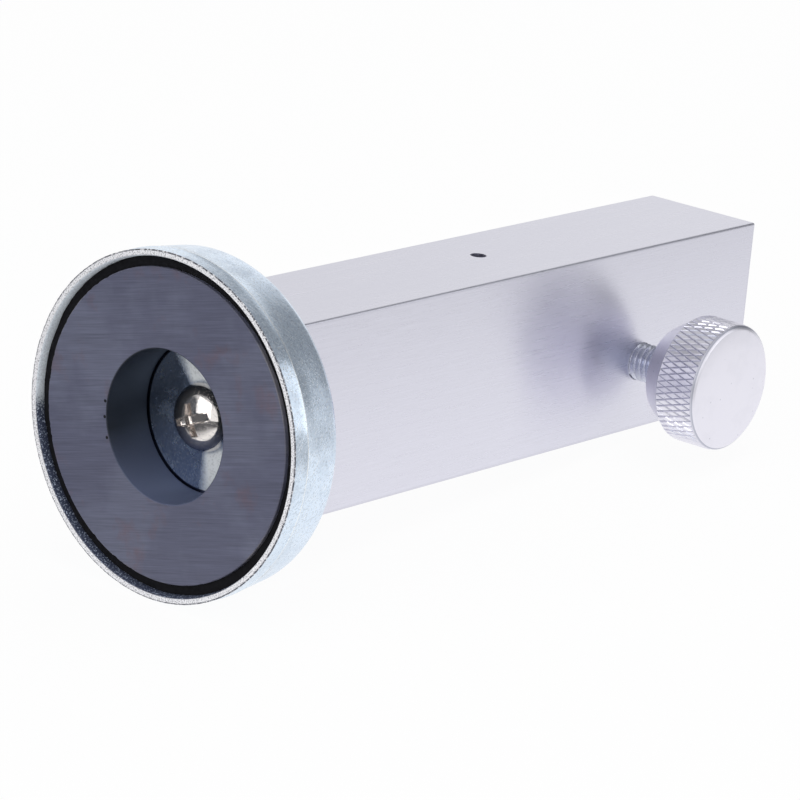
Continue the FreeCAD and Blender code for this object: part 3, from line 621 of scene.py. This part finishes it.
def makeMagnetCup():
    cup = {
        "steps": 480, "rimInner": 32.0, "rimRadius": 33.5, "band": 3.5, "bandRadius": 33.42,
        "backRadius": 32.35, "backInner": 30.85, "floor": 12.4, "depth": 13.9, "hole": 3.3,
        "lipRoughness": 0.07, "seed": 4,
    }
    # the rim's inner corner is rolled over, its outer one is left as sheared
    bm = spinProfile([
        (0.0, 32.42), (0.0, 32.8), (0.0, 33.28), (0.10, cup["bandRadius"]),
        (0.9, cup["bandRadius"]), (2.0, cup["bandRadius"]),
        (cup["band"] - 0.3, cup["bandRadius"]), (cup["band"], cup["rimRadius"]),
        (cup["band"] + 0.35, cup["bandRadius"] - 0.06), (6.5, 33.13), (9.5, 32.80),
        (cup["depth"], cup["backRadius"]), (cup["depth"], 20.0), (cup["depth"], cup["hole"]),
        (cup["floor"], cup["hole"]), (cup["floor"], 15.5), (cup["floor"], cup["backInner"]),
        (cup["band"], cup["rimInner"] - 0.1), (2.2, cup["rimInner"] - 0.04),
        (1.2, cup["rimInner"]), (0.6, 32.10), (0.25, 32.21), (0.07, 32.33),
    ], cup["steps"], closed=True)
    roundRings(bm, [
        (cup["depth"], cup["backRadius"], 2.5, 7), (cup["floor"], cup["backInner"], 0.5, 3),
        (cup["band"], cup["rimRadius"], 0.12, 2)])
    random.seed(cup["seed"])
    for vert in bm.verts:
        radius = math.hypot(vert.co.y, vert.co.z)
        if vert.co.x < 0.12 * mm and radius > 33.0 * mm:
            rough = noise.noise(vert.co * 900.0) * 0.6 + random.uniform(-0.4, 0.4)
            depth = cup["lipRoughness"] * mm * abs(rough)
            vert.co.x += depth
            if radius > 33.2 * mm:
                shrink = 1.0 - depth / radius
                vert.co.y *= shrink
                vert.co.z *= shrink
    piece = finishPiece("magnetCup", bm, "body", "cup_steel")
    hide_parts("magnet_cup")


# Ring magnet, with small chips along the corners of its ground face

def makeFerriteRing():
    ring = {
        "steps": 480, "outer": 30.0, "bore": 14.7, "front": 1.1, "back": 12.4,
        "chamfer": 0.14, "footChamfer": 0.35, "chips": 90, "chipDepth": 0.16, "seed": 11,
    }
    bm = spinProfile([
        (ring["front"], ring["bore"] + ring["chamfer"]), (ring["front"], 15.4),
        (ring["front"], 20.0), (ring["front"], 25.0), (ring["front"], 29.5),
        (ring["front"], ring["outer"] - ring["chamfer"]),
        (ring["front"] + ring["chamfer"], ring["outer"]), (2.0, ring["outer"]),
        (ring["back"], ring["outer"]), (ring["back"], ring["bore"] + ring["footChamfer"]),
        (ring["back"] - ring["footChamfer"], ring["bore"]), (5.0, ring["bore"]),
        (ring["front"] + ring["chamfer"], ring["bore"]),
    ], ring["steps"], closed=True)
    random.seed(ring["seed"])
    corners = [vert for vert in bm.verts if vert.co.x < (ring["front"] + 0.25) * mm]
    chipped = []
    for _ in range(ring["chips"]):
        angle = random.uniform(0.0, math.tau)
        radius = random.choice((ring["outer"], ring["outer"], ring["bore"]))
        spot = Vector((ring["front"], radius * math.cos(angle), radius * math.sin(angle))) * mm
        size = random.uniform(0.3, 1.0) * (1.0 if radius > 20.0 else 0.5)
        chipped.append((spot, size, radius))
    for vert in corners:
        here = math.hypot(vert.co.y, vert.co.z)
        for spot, size, radius in chipped:
            away = (vert.co - spot).length / (0.6 * size * mm)
            if away < 1.0:
                dip = ring["chipDepth"] * size * mm * (1.0 - away * away)
                vert.co.x += dip * 0.8
                inward = -dip if radius == ring["outer"] else dip
                grow = 1.0 + 0.6 * inward / here
                vert.co.y *= grow
                vert.co.z *= grow
                break
    piece = finishPiece("ferriteRing", bm, "body", "ferrite", sharpAngle=28.0)
    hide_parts("ferrite_ring")


def makeMagnetFilling():
    filling = {"steps": 180, "top": 2.0, "foot": 11.8, "inner": 30.03, "ripple": 0.2}
    bm = spinProfile([
        (filling["top"], filling["inner"]), (filling["top"] + 0.1, 30.6),
        (filling["top"] + 0.15, 31.3), (filling["top"], 31.93), (3.6, 31.85),
        (filling["foot"], 30.98), (filling["foot"], filling["inner"]),
    ], filling["steps"], closed=True)
    for vert in bm.verts:
        if vert.co.x < 5.0 * mm:
            vert.co.x += filling["ripple"] * mm * noise.noise(vert.co * 260.0)
    piece = finishPiece("magnetFilling", bm, "body", "magnet_filling", sharpAngle=50.0)
    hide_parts("magnet_adhesive")


# Cup screw: domed pan head, tapering cross recess and a wider shallow slot

def crossCutter(screw):
    # a tapering shell for each bar of the cross and for the slot, wider at the head's top
    arms = ((screw["crossArm"], screw["crossWidth"], screw["crossDepth"], 0.72),
            (screw["crossWidth"], screw["crossArm"], screw["crossDepth"], 0.72),
            (screw["slotArm"], screw["slotWidth"], screw["slotDepth"], 0.92))
    cutters = []
    for length, width, depth, taper in arms:
        bm = bmesh.new()
        bmesh.ops.create_cube(bm, size=1.0)
        wide = 2.0 * (length if length > width else length / 2)
        tall = 2.0 * (width if width > length else width / 2)
        for vert in bm.verts:
            top = vert.co.x < 0.0
            shrink = 1.0 if top else taper
            vert.co.y *= wide * shrink * mm
            vert.co.z *= tall * shrink * mm
            vert.co.x = (screw["headTop"] + (-0.6 if top else depth)) * mm
        turn = Matrix.Rotation(-math.radians(screw["turn"]), 4, "X")
        bmesh.ops.transform(bm, matrix=turn, verts=bm.verts)
        faceOutward(bm)
        cutters.append(placeMesh("cutter", bm))
    return cutters


def cutAway(bm, cutters):
    # a copy of the mesh with every cutter taken out of it
    blank = placeMesh("blank", bm)
    for cutter in cutters:
        modifier = blank.modifiers.new("cut", "BOOLEAN")
        modifier.operation = "DIFFERENCE"
        modifier.solver = "EXACT"
        modifier.object = cutter
    depsgraph = bpy.context.evaluated_depsgraph_get()
    result = bmesh.new()
    result.from_mesh(blank.evaluated_get(depsgraph).to_mesh())
    for thing in [blank] + cutters:
        bpy.data.objects.remove(thing)
    return result


def makeCupScrew():
    screw = {
        "steps": 128, "headTop": 8.0, "headRadius": 6.6, "seat": 12.4, "shank": 2.95,
        "tip": 29.4, "turn": 22.0, "crossArm": 3.5, "crossWidth": 1.9, "crossDepth": 2.6,
        "slotArm": 4.3, "slotWidth": 1.45, "slotDepth": 1.7, "edge": 0.12,
        "domeSteps": 20, "domeFlat": 0.3, "skirt": 0.6,
    }
    points = [(screw["headTop"], 0.0)]
    # the head's side is a quarter of an ellipse from its flat top to its skirt
    for i in range(screw["domeSteps"] + 1):
        turn = math.pi / 2 * i / screw["domeSteps"]
        reach = screw["headRadius"] - screw["domeFlat"]
        height = screw["seat"] - screw["skirt"] - screw["headTop"]
        points.append((screw["headTop"] + height * (1.0 - math.cos(turn)),
                screw["domeFlat"] + reach * math.sin(turn)))
    points += [
        (screw["seat"] - 0.15, screw["headRadius"]), (screw["seat"], screw["headRadius"] - 0.15),
        (screw["seat"], screw["shank"]), (screw["tip"] - 0.6, screw["shank"]),
        (screw["tip"], screw["shank"] - 0.6), (screw["tip"], 0.0)]
    blank = spinProfile(points, screw["steps"])
    bm = cutAway(blank, crossCutter(screw))
    bmesh.ops.remove_doubles(bm, verts=bm.verts, dist=0.000004)
    rims = [edge for edge in bm.edges
            if edge.calc_face_angle(0.0) > math.radians(38.0)
            and edge.verts[0].co.x < (screw["headTop"] + 1.9) * mm
            and math.hypot(edge.verts[0].co.y, edge.verts[0].co.z) < 5.0 * mm]
    bmesh.ops.bevel(bm, geom=rims, offset=screw["edge"] * mm, affect="EDGES", segments=2,
            profile=0.5, material=-1, clamp_overlap=True)
    closeMesh(bm)
    piece = finishPiece("cupScrew", bm, "body", "screw_steel")
    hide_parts("magnet_screw")


makeMagnetCup()
makeFerriteRing()
makeMagnetFilling()
makeCupScrew()
print("magnet made")


# Thumbscrew knob: smooth shoulder and face, joined to a diamond knurl

def makeKnob():
    knob = {
        "around": 62, "rows": 2, "back": -22.1, "shoulder": 9.45, "knurlBack": -27.5,
        "knurlFront": -36.15, "front": -36.75, "faceRadius": 12.3, "root": 12.90,
        "tooth": 0.34, "land": 0.22, "seat": 4.0, "seatEnd": -31.1,
    }
    bm = bmesh.new()
    tag = bm.edges.layers.int.new("gridLine")
    bmesh.ops.create_grid(bm, x_segments=knob["around"], y_segments=knob["rows"], size=0.5)
    for edge in bm.edges:
        edge[tag] = 1
    bmesh.ops.poke(bm, faces=bm.faces)
    middle = (knob["knurlBack"] + knob["knurlFront"]) / 2
    length = knob["knurlBack"] - knob["knurlFront"]
    for vert in bm.verts:
        angle = vert.co.x * math.tau
        vert.co = Vector((knob["root"] * math.cos(angle), middle + vert.co.y * length,
                knob["root"] * math.sin(angle))) * mm
    closeMesh(bm)
    lines = [edge for edge in bm.edges if edge[tag] and len(edge.link_faces) == 2]
    bmesh.ops.dissolve_edges(bm, edges=lines, use_verts=False)
    axisPoint = Vector((0.0, middle * mm, 0.0))
    face = next(iter(bm.faces))
    outward = face.calc_center_median() - axisPoint
    outward.y = 0.0
    if face.normal.dot(outward) < 0.0:
        bmesh.ops.reverse_faces(bm, faces=bm.faces)
    diamonds = [face for face in bm.faces if len(face.verts) == 4]
    halves = [face for face in bm.faces if len(face.verts) == 3]
    bmesh.ops.inset_individual(bm, faces=diamonds, thickness=knob["land"] * mm,
            depth=knob["tooth"] * mm, use_even_offset=True)
    bmesh.ops.inset_individual(bm, faces=halves, thickness=knob["land"] * 0.7 * mm,
            depth=knob["tooth"] * 0.5 * mm, use_even_offset=True)
    smooth = spinProfile([
        (knob["seatEnd"], 0.0), (knob["seatEnd"], knob["seat"]), (knob["back"], knob["seat"]),
        (knob["back"], knob["shoulder"] - 0.5), (knob["back"] - 0.12, knob["shoulder"] - 0.12),
        (knob["back"] - 0.5, knob["shoulder"] + 0.18), (knob["knurlBack"], knob["root"]),
    ], knob["around"], axis="Y")
    face = spinProfile([
        (knob["knurlFront"], knob["root"]), (knob["knurlFront"] - 0.03, knob["root"] + 0.16),
        (knob["front"] + 0.14, knob["faceRadius"] + 0.22),
        (knob["front"] + 0.02, knob["faceRadius"]), (knob["front"], knob["faceRadius"] - 0.2),
        (knob["front"], 8.0), (knob["front"], 4.0), (knob["front"], 0.0),
    ], knob["around"], axis="Y")
    for part in (smooth, face):
        addPart(bm, part)
    bmesh.ops.translate(bm, vec=thumbscrewCentre, verts=bm.verts)
    closeMesh(bm, 0.00001)
    piece = finishPiece("thumbscrewKnob", bm, "thumbscrew", "knob_aluminium", sharpAngle=24.0)
    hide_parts("thumbscrew_knob")


# Thumbscrew shank with its helical thread and a turned-down tip

def makeStud():
    stud = {
        "steps": 60, "pitch": 1.25, "root": 3.22, "crest": 3.95, "start": -30.9, "end": -5.4,
        "tip": -4.7, "tipRadius": 3.2, "stem": 1.3,
    }
    bm = bmesh.new()
    turns = int((stud["end"] - stud["start"]) / stud["pitch"]) + 3
    tooth = [(0.0, stud["root"]), (0.28, stud["root"]), (0.33, stud["root"] + 0.04),
            (0.68, stud["crest"] - 0.03), (0.74, stud["crest"]), (0.84, stud["crest"]),
            (0.90, stud["crest"] - 0.03), (1.21, stud["root"] + 0.04),
            (stud["pitch"], stud["root"])]
    base = stud["start"] - 1.5 * stud["pitch"]
    verts = [bm.verts.new((radius * mm, (base + along) * mm, 0.0)) for along, radius in tooth]
    edges = [bm.edges.new(pair) for pair in zip(verts, verts[1:])]
    bmesh.ops.spin(bm, geom=verts + edges, axis=(0.0, 1.0, 0.0), cent=(0.0, 0.0, 0.0),
            dvec=(0.0, stud["pitch"] * mm / stud["steps"], 0.0), angle=math.tau * turns,
            steps=stud["steps"] * turns)
    bmesh.ops.remove_doubles(bm, verts=bm.verts, dist=0.000002)
    for place, direction in ((stud["start"], -1.0), (stud["end"], 1.0)):
        cut = bmesh.ops.bisect_plane(
            bm, geom=list(bm.verts) + list(bm.edges) + list(bm.faces),
            plane_co=(0.0, place * mm, 0.0), plane_no=(0.0, direction, 0.0),
            clear_outer=True)
        loop = [thing for thing in cut["geom_cut"] if isinstance(thing, bmesh.types.BMEdge)]
        bmesh.ops.contextual_create(bm, geom=loop)
    faceOutward(bm)
    tip = spinProfile([
        (stud["end"] - 0.3, 0.0), (stud["end"] - 0.3, stud["root"] + 0.05),
        (stud["end"] + 0.1, stud["root"] + 0.1), (stud["tip"], stud["tipRadius"] - 0.3),
        (stud["tip"], stud["stem"]), (stud["end"] - 0.1, stud["stem"]),
        (stud["end"] - 0.1, 0.0),
    ], 64, axis="Y")
    addPart(bm, tip)
    bmesh.ops.translate(bm, vec=thumbscrewCentre, verts=bm.verts)
    piece = finishPiece("thumbscrewStud", bm, "thumbscrew", "screw_steel", studSteel)
    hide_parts("thumbscrew_stud")


# Return spring, which the carrier presses flatter against its bore's floor

def makeReturnSpring():
    spring = {"radius": 2.15, "wire": 0.35, "turns": 6, "steps": 30, "around": 10, "spare": 0.03}
    low, high = (Vector(corner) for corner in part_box("return_spring"))
    height = high.y - low.y
    rise = height - 2 * spring["wire"] * mm
    bm = bmesh.new()
    made = bmesh.ops.create_circle(bm, cap_ends=False, segments=spring["around"],
            radius=spring["wire"] * mm)
    bmesh.ops.translate(bm, vec=(spring["radius"] * mm, 0.0, 0.0), verts=made["verts"])
    loop = list(bm.verts) + list(bm.edges)
    steps = spring["turns"] * spring["steps"]
    bmesh.ops.spin(bm, geom=loop, axis=(0.0, 1.0, 0.0), cent=(0.0, 0.0, 0.0),
            dvec=(0.0, rise / steps, 0.0), angle=math.tau * spring["turns"], steps=steps)
    bmesh.ops.remove_doubles(bm, verts=bm.verts, dist=0.000001)
    bmesh.ops.holes_fill(bm, edges=[edge for edge in bm.edges if edge.is_boundary], sides=0)
    faceOutward(bm)
    foot = Vector(((low.x + high.x) / 2, low.y + spring["wire"] * mm, (low.z + high.z) / 2))
    bmesh.ops.translate(bm, vec=foot, verts=bm.verts)
    piece = finishPiece("returnSpring", bm, "body", "spring_steel", sharpAngle=50.0)
    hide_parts("return_spring")
    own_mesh(piece)


makeKnob()
makeStud()
makeReturnSpring()
print("thumbscrew made")


# Vials: tube with rounded rims, spirit with a bubble, and hairlines round the tube

def layVial(bm, vial):
    # a vial is made along X and turned upright where it stands along Z
    if vial["axis"] == "Z":
        bmesh.ops.rotate(bm, matrix=Matrix.Rotation(-math.pi / 2, 3, "Y"), verts=bm.verts,
                cent=(0.0, 0.0, 0.0))
    bmesh.ops.translate(bm, vec=Vector(vial["centre"]) * mm, verts=bm.verts)


def makeVial(vial):
    half = vial["length"] / 2
    radius = vial["radius"]
    bore = radius - vial["wall"]
    bm = spinProfile([(-half, bore), (-half, radius), (half, radius), (half, bore)], 64,
            closed=True)
    roundRings(bm, [(-half, radius, 0.25, 3), (half, radius, 0.25, 3)])
    layVial(bm, vial)
    glass = finishPiece(vial["name"] + "Glass", bm, vial["body"], "vial_glass")
    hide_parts(vial["node"] + "_glass")

    end = half - vial["plug"]
    column = bore + 0.01
    bm = spinProfile([(-end, 0.0), (-end, column), (end, column), (end, 0.0)], 64)
    air = bmesh.new()
    bmesh.ops.create_uvsphere(air, u_segments=40, v_segments=24, radius=1.0)
    bmesh.ops.rotate(air, matrix=Matrix.Rotation(math.pi / 2, 3, "Y"), verts=air.verts,
            cent=(0.0, 0.0, 0.0))
    inside = bore - 0.04
    for vert in air.verts:
        x, y, z = vert.co
        # blunt ends, a rounded underside, and a top that follows the tube's wall
        x = math.copysign(abs(x) ** 0.8, x) * vial["bubble"] / 2
        y = bore - 0.4 + y * (vial["bubbleHeight"] if y < 0.0 else 1.0)
        z = z * vial["bubbleWidth"] / 2
        reach = math.hypot(y, z)
        if reach > inside:
            y *= inside / reach
            z *= inside / reach
        vert.co = Vector((x, y, z)) * mm
    faceOutward(air)
    bmesh.ops.reverse_faces(air, faces=air.faces)
    addPart(bm, air)
    layVial(bm, vial)
    spirit = finishPiece(vial["name"] + "Spirit", bm, vial["body"], "vial_spirit")
    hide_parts(vial["node"] + "_liquid")

    bm = bmesh.new()
    for place in vial["hairlines"]:
        ring = spinProfile([
            (place - 0.09, radius - 0.01), (place - 0.09, radius + 0.012),
            (place + 0.09, radius + 0.012), (place + 0.09, radius - 0.01)], 64, closed=True)
        addPart(bm, ring)
    layVial(bm, vial)
    finishPiece(vial["name"] + "Hairlines", bm, vial["body"], "vial_glass", hairlineBlack)


longVial = {"axis": "X", "length": 54.0, "radius": 3.75, "wall": 0.7, "plug": 3.0, "bubble": 11.0,
        "bubbleWidth": 4.2, "bubbleHeight": 1.4, "hairlines": (-5.7, 5.7)}
makeVial({**longVial, "name": "casterVial", "node": "caster_vial", "body": "carrier",
        "centre": (92.5, 7.4, -5.0)})
makeVial({**longVial, "name": "camberVial", "node": "camber_vial", "body": "body",
        "centre": (92.5, 8.2, 7.0)})
makeVial({"name": "levelVial", "node": "level_vial", "body": "body", "axis": "Z",
        "centre": (151.6, 8.1, 0.0), "length": 24.0, "radius": 3.5, "wall": 0.7, "plug": 3.0,
        "bubble": 7.0, "bubbleWidth": 3.8, "bubbleHeight": 1.3, "hairlines": (-3.7, 3.7)})
print("vials made")


# Scale marks on the black plate: degree ticks and plain numbers, read from +Y

def addBar(bm, x, z, width, height, top, lift):
    # thin raised bar with bevelled upper edges, centre at x and z
    part = bmesh.new()
    bmesh.ops.create_cube(part, size=1.0)
    for vert in part.verts:
        shrink = 0.86 if vert.co.y > 0.0 else 1.0
        vert.co = Vector(((x + vert.co.x * width * shrink),
                top + (lift if vert.co.y > 0.0 else -0.02),
                z + vert.co.z * (height - (1.0 - shrink) * width))) * mm
    addPart(bm, part)


def addNumber(bm, text, x, z, size, top, lift):
    curve = bpy.data.curves.new("number", "FONT")
    curve.body = text
    curve.size = size * mm
    curve.align_x = "CENTER"
    curve.align_y = "CENTER"
    curve.extrude = (lift + 0.02) / 2 * mm
    curve.resolution_u = 4
    holder = bpy.data.objects.new("number", curve)
    bpy.context.scene.collection.objects.link(holder)
    depsgraph = bpy.context.evaluated_depsgraph_get()
    mesh = bpy.data.meshes.new_from_object(holder.evaluated_get(depsgraph))
    bpy.data.objects.remove(holder)
    facing = Matrix(((-1.0, 0.0, 0.0, x * mm), (0.0, 0.0, 1.0, (top + lift / 2 - 0.01) * mm),
            (0.0, 1.0, 0.0, z * mm), (0.0, 0.0, 0.0, 1.0)))
    mesh.transform(facing)
    bm.from_mesh(mesh)
    bpy.data.meshes.remove(mesh)


def makeScaleMarks():
    marks = {
        "middle": 92.5, "top": 13.7, "lift": 0.03, "degree": 5.5, "degrees": 4,
        "long": 2.4, "short": 1.3, "thick": 0.26, "digit": 2.5,
        "rows": ((11.7, 1.0), (-9.7, -1.0)),
    }
    bm = bmesh.new()
    steps = marks["degrees"] * 2
    for start, direction in marks["rows"]:
        for i in range(-steps, steps + 1):
            length = marks["long"] if i % 2 == 0 else marks["short"]
            x = marks["middle"] + i * marks["degree"] / 2
            addBar(bm, x, start + direction * length / 2, marks["thick"], length, marks["top"],
                    marks["lift"])
        for degree in range(-marks["degrees"], marks["degrees"] + 1):
            addNumber(bm, str(abs(degree)), marks["middle"] + degree * marks["degree"],
                    start + direction * (marks["long"] + 1.5), marks["digit"], marks["top"],
                    marks["lift"])
        for side, sign in ((-1.0, "+"), (1.0, "-")):
            addNumber(bm, sign, marks["middle"] + side * 27.6,
                    start + direction * (marks["long"] + 1.5), marks["digit"] * 1.2, marks["top"],
                    marks["lift"])
    faceOutward(bm)
    finishPiece("scaleMarks", bm, "body", "plate_anodised", scaleWhite)


makeScaleMarks()
print("scale made")


# Camera at the photograph's viewing angle

def makeCamera():
    view = {
        "place": (-0.5423, -0.4901, 0.2237), "aim": (0.0303, -0.0318, 0.0084),
        "roll": 5.16, "lens": 185.8, "sensor": 36.0,
    }
    data = bpy.data.cameras.new("photoCamera")
    data.lens = view["lens"]
    data.sensor_width = view["sensor"]
    data.clip_start = 0.01
    camera = bpy.data.objects.new("photoCamera", data)
    look = Vector(view["aim"]) - Vector(view["place"])
    turn = look.to_track_quat("-Z", "Y").to_matrix().to_4x4()
    roll = Matrix.Rotation(math.radians(view["roll"]), 4, "Z")
    camera.matrix_world = Matrix.Translation(view["place"]) @ turn @ roll
    bpy.context.scene.collection.objects.link(camera)
    bpy.context.scene.camera = camera


# Light paths and dim parts, for the floor and the surroundings

def seenRays(tree):
    # rays of the camera, or sent on by metal or glass, and those of metal alone
    rays = addNode(tree, "LightPath").outputs
    seen = most(tree, rays["Is Camera Ray"], rays["Is Glossy Ray"])
    return most(tree, seen, rays["Is Transmission Ray"]), rays["Is Glossy Ray"]


def dimParts(tree, way, parts):
    # the way each dim part lies, where it begins and is full, and how dim it gets
    dimness = None
    for outward, begins, full, share in parts:
        reach = doVector(tree, "DOT_PRODUCT", way, outward)
        part = fade(tree, reach, begins, full, 0.0, share)
        dimness = most(tree, dimness, part) if dimness else part
    return dimness


# Pale floor that the gauge leans on, touching the cup's crease and the bar's far end

def makeFloor():
    floor = {"nearX": 0.0035, "nearZ": -0.0335, "farX": 0.1676, "farZ": -0.01965, "size": 4.0,
            "gap": 0.00005, "white": 0.94, "dim": (0.05, 0.052, 0.06),
            "edges": (((-1.0, 0.0, 0.0), 0.045, 0.095, 0.95),
                      ((-0.78, 0.62, 0.0), 0.02, 0.06, 0.95),
                      ((0.0, -1.0, 0.0), 0.085, 0.125, 0.42))}
    bm = bmesh.new()
    bmesh.ops.create_grid(bm, x_segments=8, y_segments=8, size=floor["size"] / 2)
    slope = math.atan2(floor["farZ"] - floor["nearZ"], floor["farX"] - floor["nearX"])
    bmesh.ops.rotate(bm, matrix=Matrix.Rotation(-slope, 3, "Y"), verts=bm.verts,
            cent=(0.0, 0.0, 0.0))
    lift = Vector((floor["nearX"], 0.0, floor["nearZ"] - floor["gap"]))
    bmesh.ops.translate(bm, vec=lift, verts=bm.verts)
    piece = placeMesh("paleFloor", bm)
    material = bpy.data.materials.new("paleFloor")
    material.use_nodes = True
    tree = material.node_tree
    tree.nodes.clear()
    seen, glossy = seenRays(tree)
    diffuse = addNode(tree, "BsdfDiffuse", {"Color": (0.93, 0.93, 0.94)})
    glow = addNode(tree, "Emission", {"Color": (1.0, 1.0, 1.0), "Strength": 1.0})
    glowing = times(tree, seen, floor["white"])
    both = addNode(tree, "MixShader", {0: glowing, 1: diffuse.outputs[0], 2: glow.outputs[0]})
    # metal that faces the wheel's side mirrors the dim room beyond the floor's edges
    beyond = dimParts(tree, addNode(tree, "TexCoord").outputs["Object"], floor["edges"])
    dim = addNode(tree, "Emission", {"Color": floor["dim"], "Strength": 1.0})
    whole = addNode(tree, "MixShader", {0: times(tree, beyond, glossy), 1: both.outputs[0],
            2: dim.outputs[0]})
    out = addNode(tree, "OutputMaterial")
    tree.links.new(whole.outputs[0], out.inputs["Surface"])
    piece.data.materials.append(material)


# Soft studio light: white surroundings, which metal sees with a dim ceiling and two dim walls

def makeWorld():
    room = {
        "ambient": 0.62, "white": (1.0, 1.0, 1.0), "dim": (0.05, 0.058, 0.072),
        "parts": (((0.0, 0.0, 1.0), 0.45, 0.68, 0.80), ((-0.707, 0.707, 0.0), 0.80, 0.92, 0.98),
                  ((0.79, -0.42, 0.44), 0.72, 0.90, 0.76)),
        # height above which the pale softbox overhead shows
        "overhead": (0.70, 0.86),
    }
    world = bpy.data.worlds.new("studio")
    bpy.context.scene.world = world
    world.use_nodes = True
    tree = world.node_tree
    tree.nodes.clear()
    seen, glossy = seenRays(tree)
    way = addNode(tree, "TexCoord").outputs["Object"]
    dimness = dimParts(tree, way, room["parts"])
    height = addNode(tree, "SeparateXYZ", {0: way}).outputs[2]
    dimness = times(tree, dimness, fade(tree, height, *room["overhead"], 1.0, 0.25))
    colour = mixColour(tree, times(tree, dimness, glossy), room["white"], room["dim"])
    strength = fade(tree, seen, 0.0, 1.0, room["ambient"], 1.0)
    sky = addNode(tree, "Background", {"Color": colour, "Strength": strength})
    out = addNode(tree, "OutputWorld")
    tree.links.new(sky.outputs[0], out.inputs["Surface"])


def makeLamps():
    lamps = (
        # place, aim, side, power, seen in metal
        ((-0.10, -0.25, 1.00), (0.08, 0.0, 0.0), 0.9, 3.2, False),
        ((-0.95, 0.10, 0.36), (0.03, 0.0, 0.0), 0.8, 2.4, True),
        ((0.75, -0.90, 0.35), (0.10, 0.0, 0.0), 0.7, 1.3, True),
    )
    for i, (place, aim, side, power, mirrored) in enumerate(lamps, 1):
        data = bpy.data.lights.new("softbox%d" % i, "AREA")
        data.shape = "SQUARE"
        data.size = side
        data.energy = power
        lamp = bpy.data.objects.new("softbox%d" % i, data)
        lamp.visible_glossy = mirrored
        turn = (Vector(aim) - Vector(place)).to_track_quat("-Z", "Y")
        lamp.matrix_world = Matrix.Translation(place) @ turn.to_matrix().to_4x4()
        bpy.context.scene.collection.objects.link(lamp)


makeCamera()
makeFloor()
makeWorld()
makeLamps()
bpy.context.scene.view_settings.view_transform = "Standard"
print("studio made")
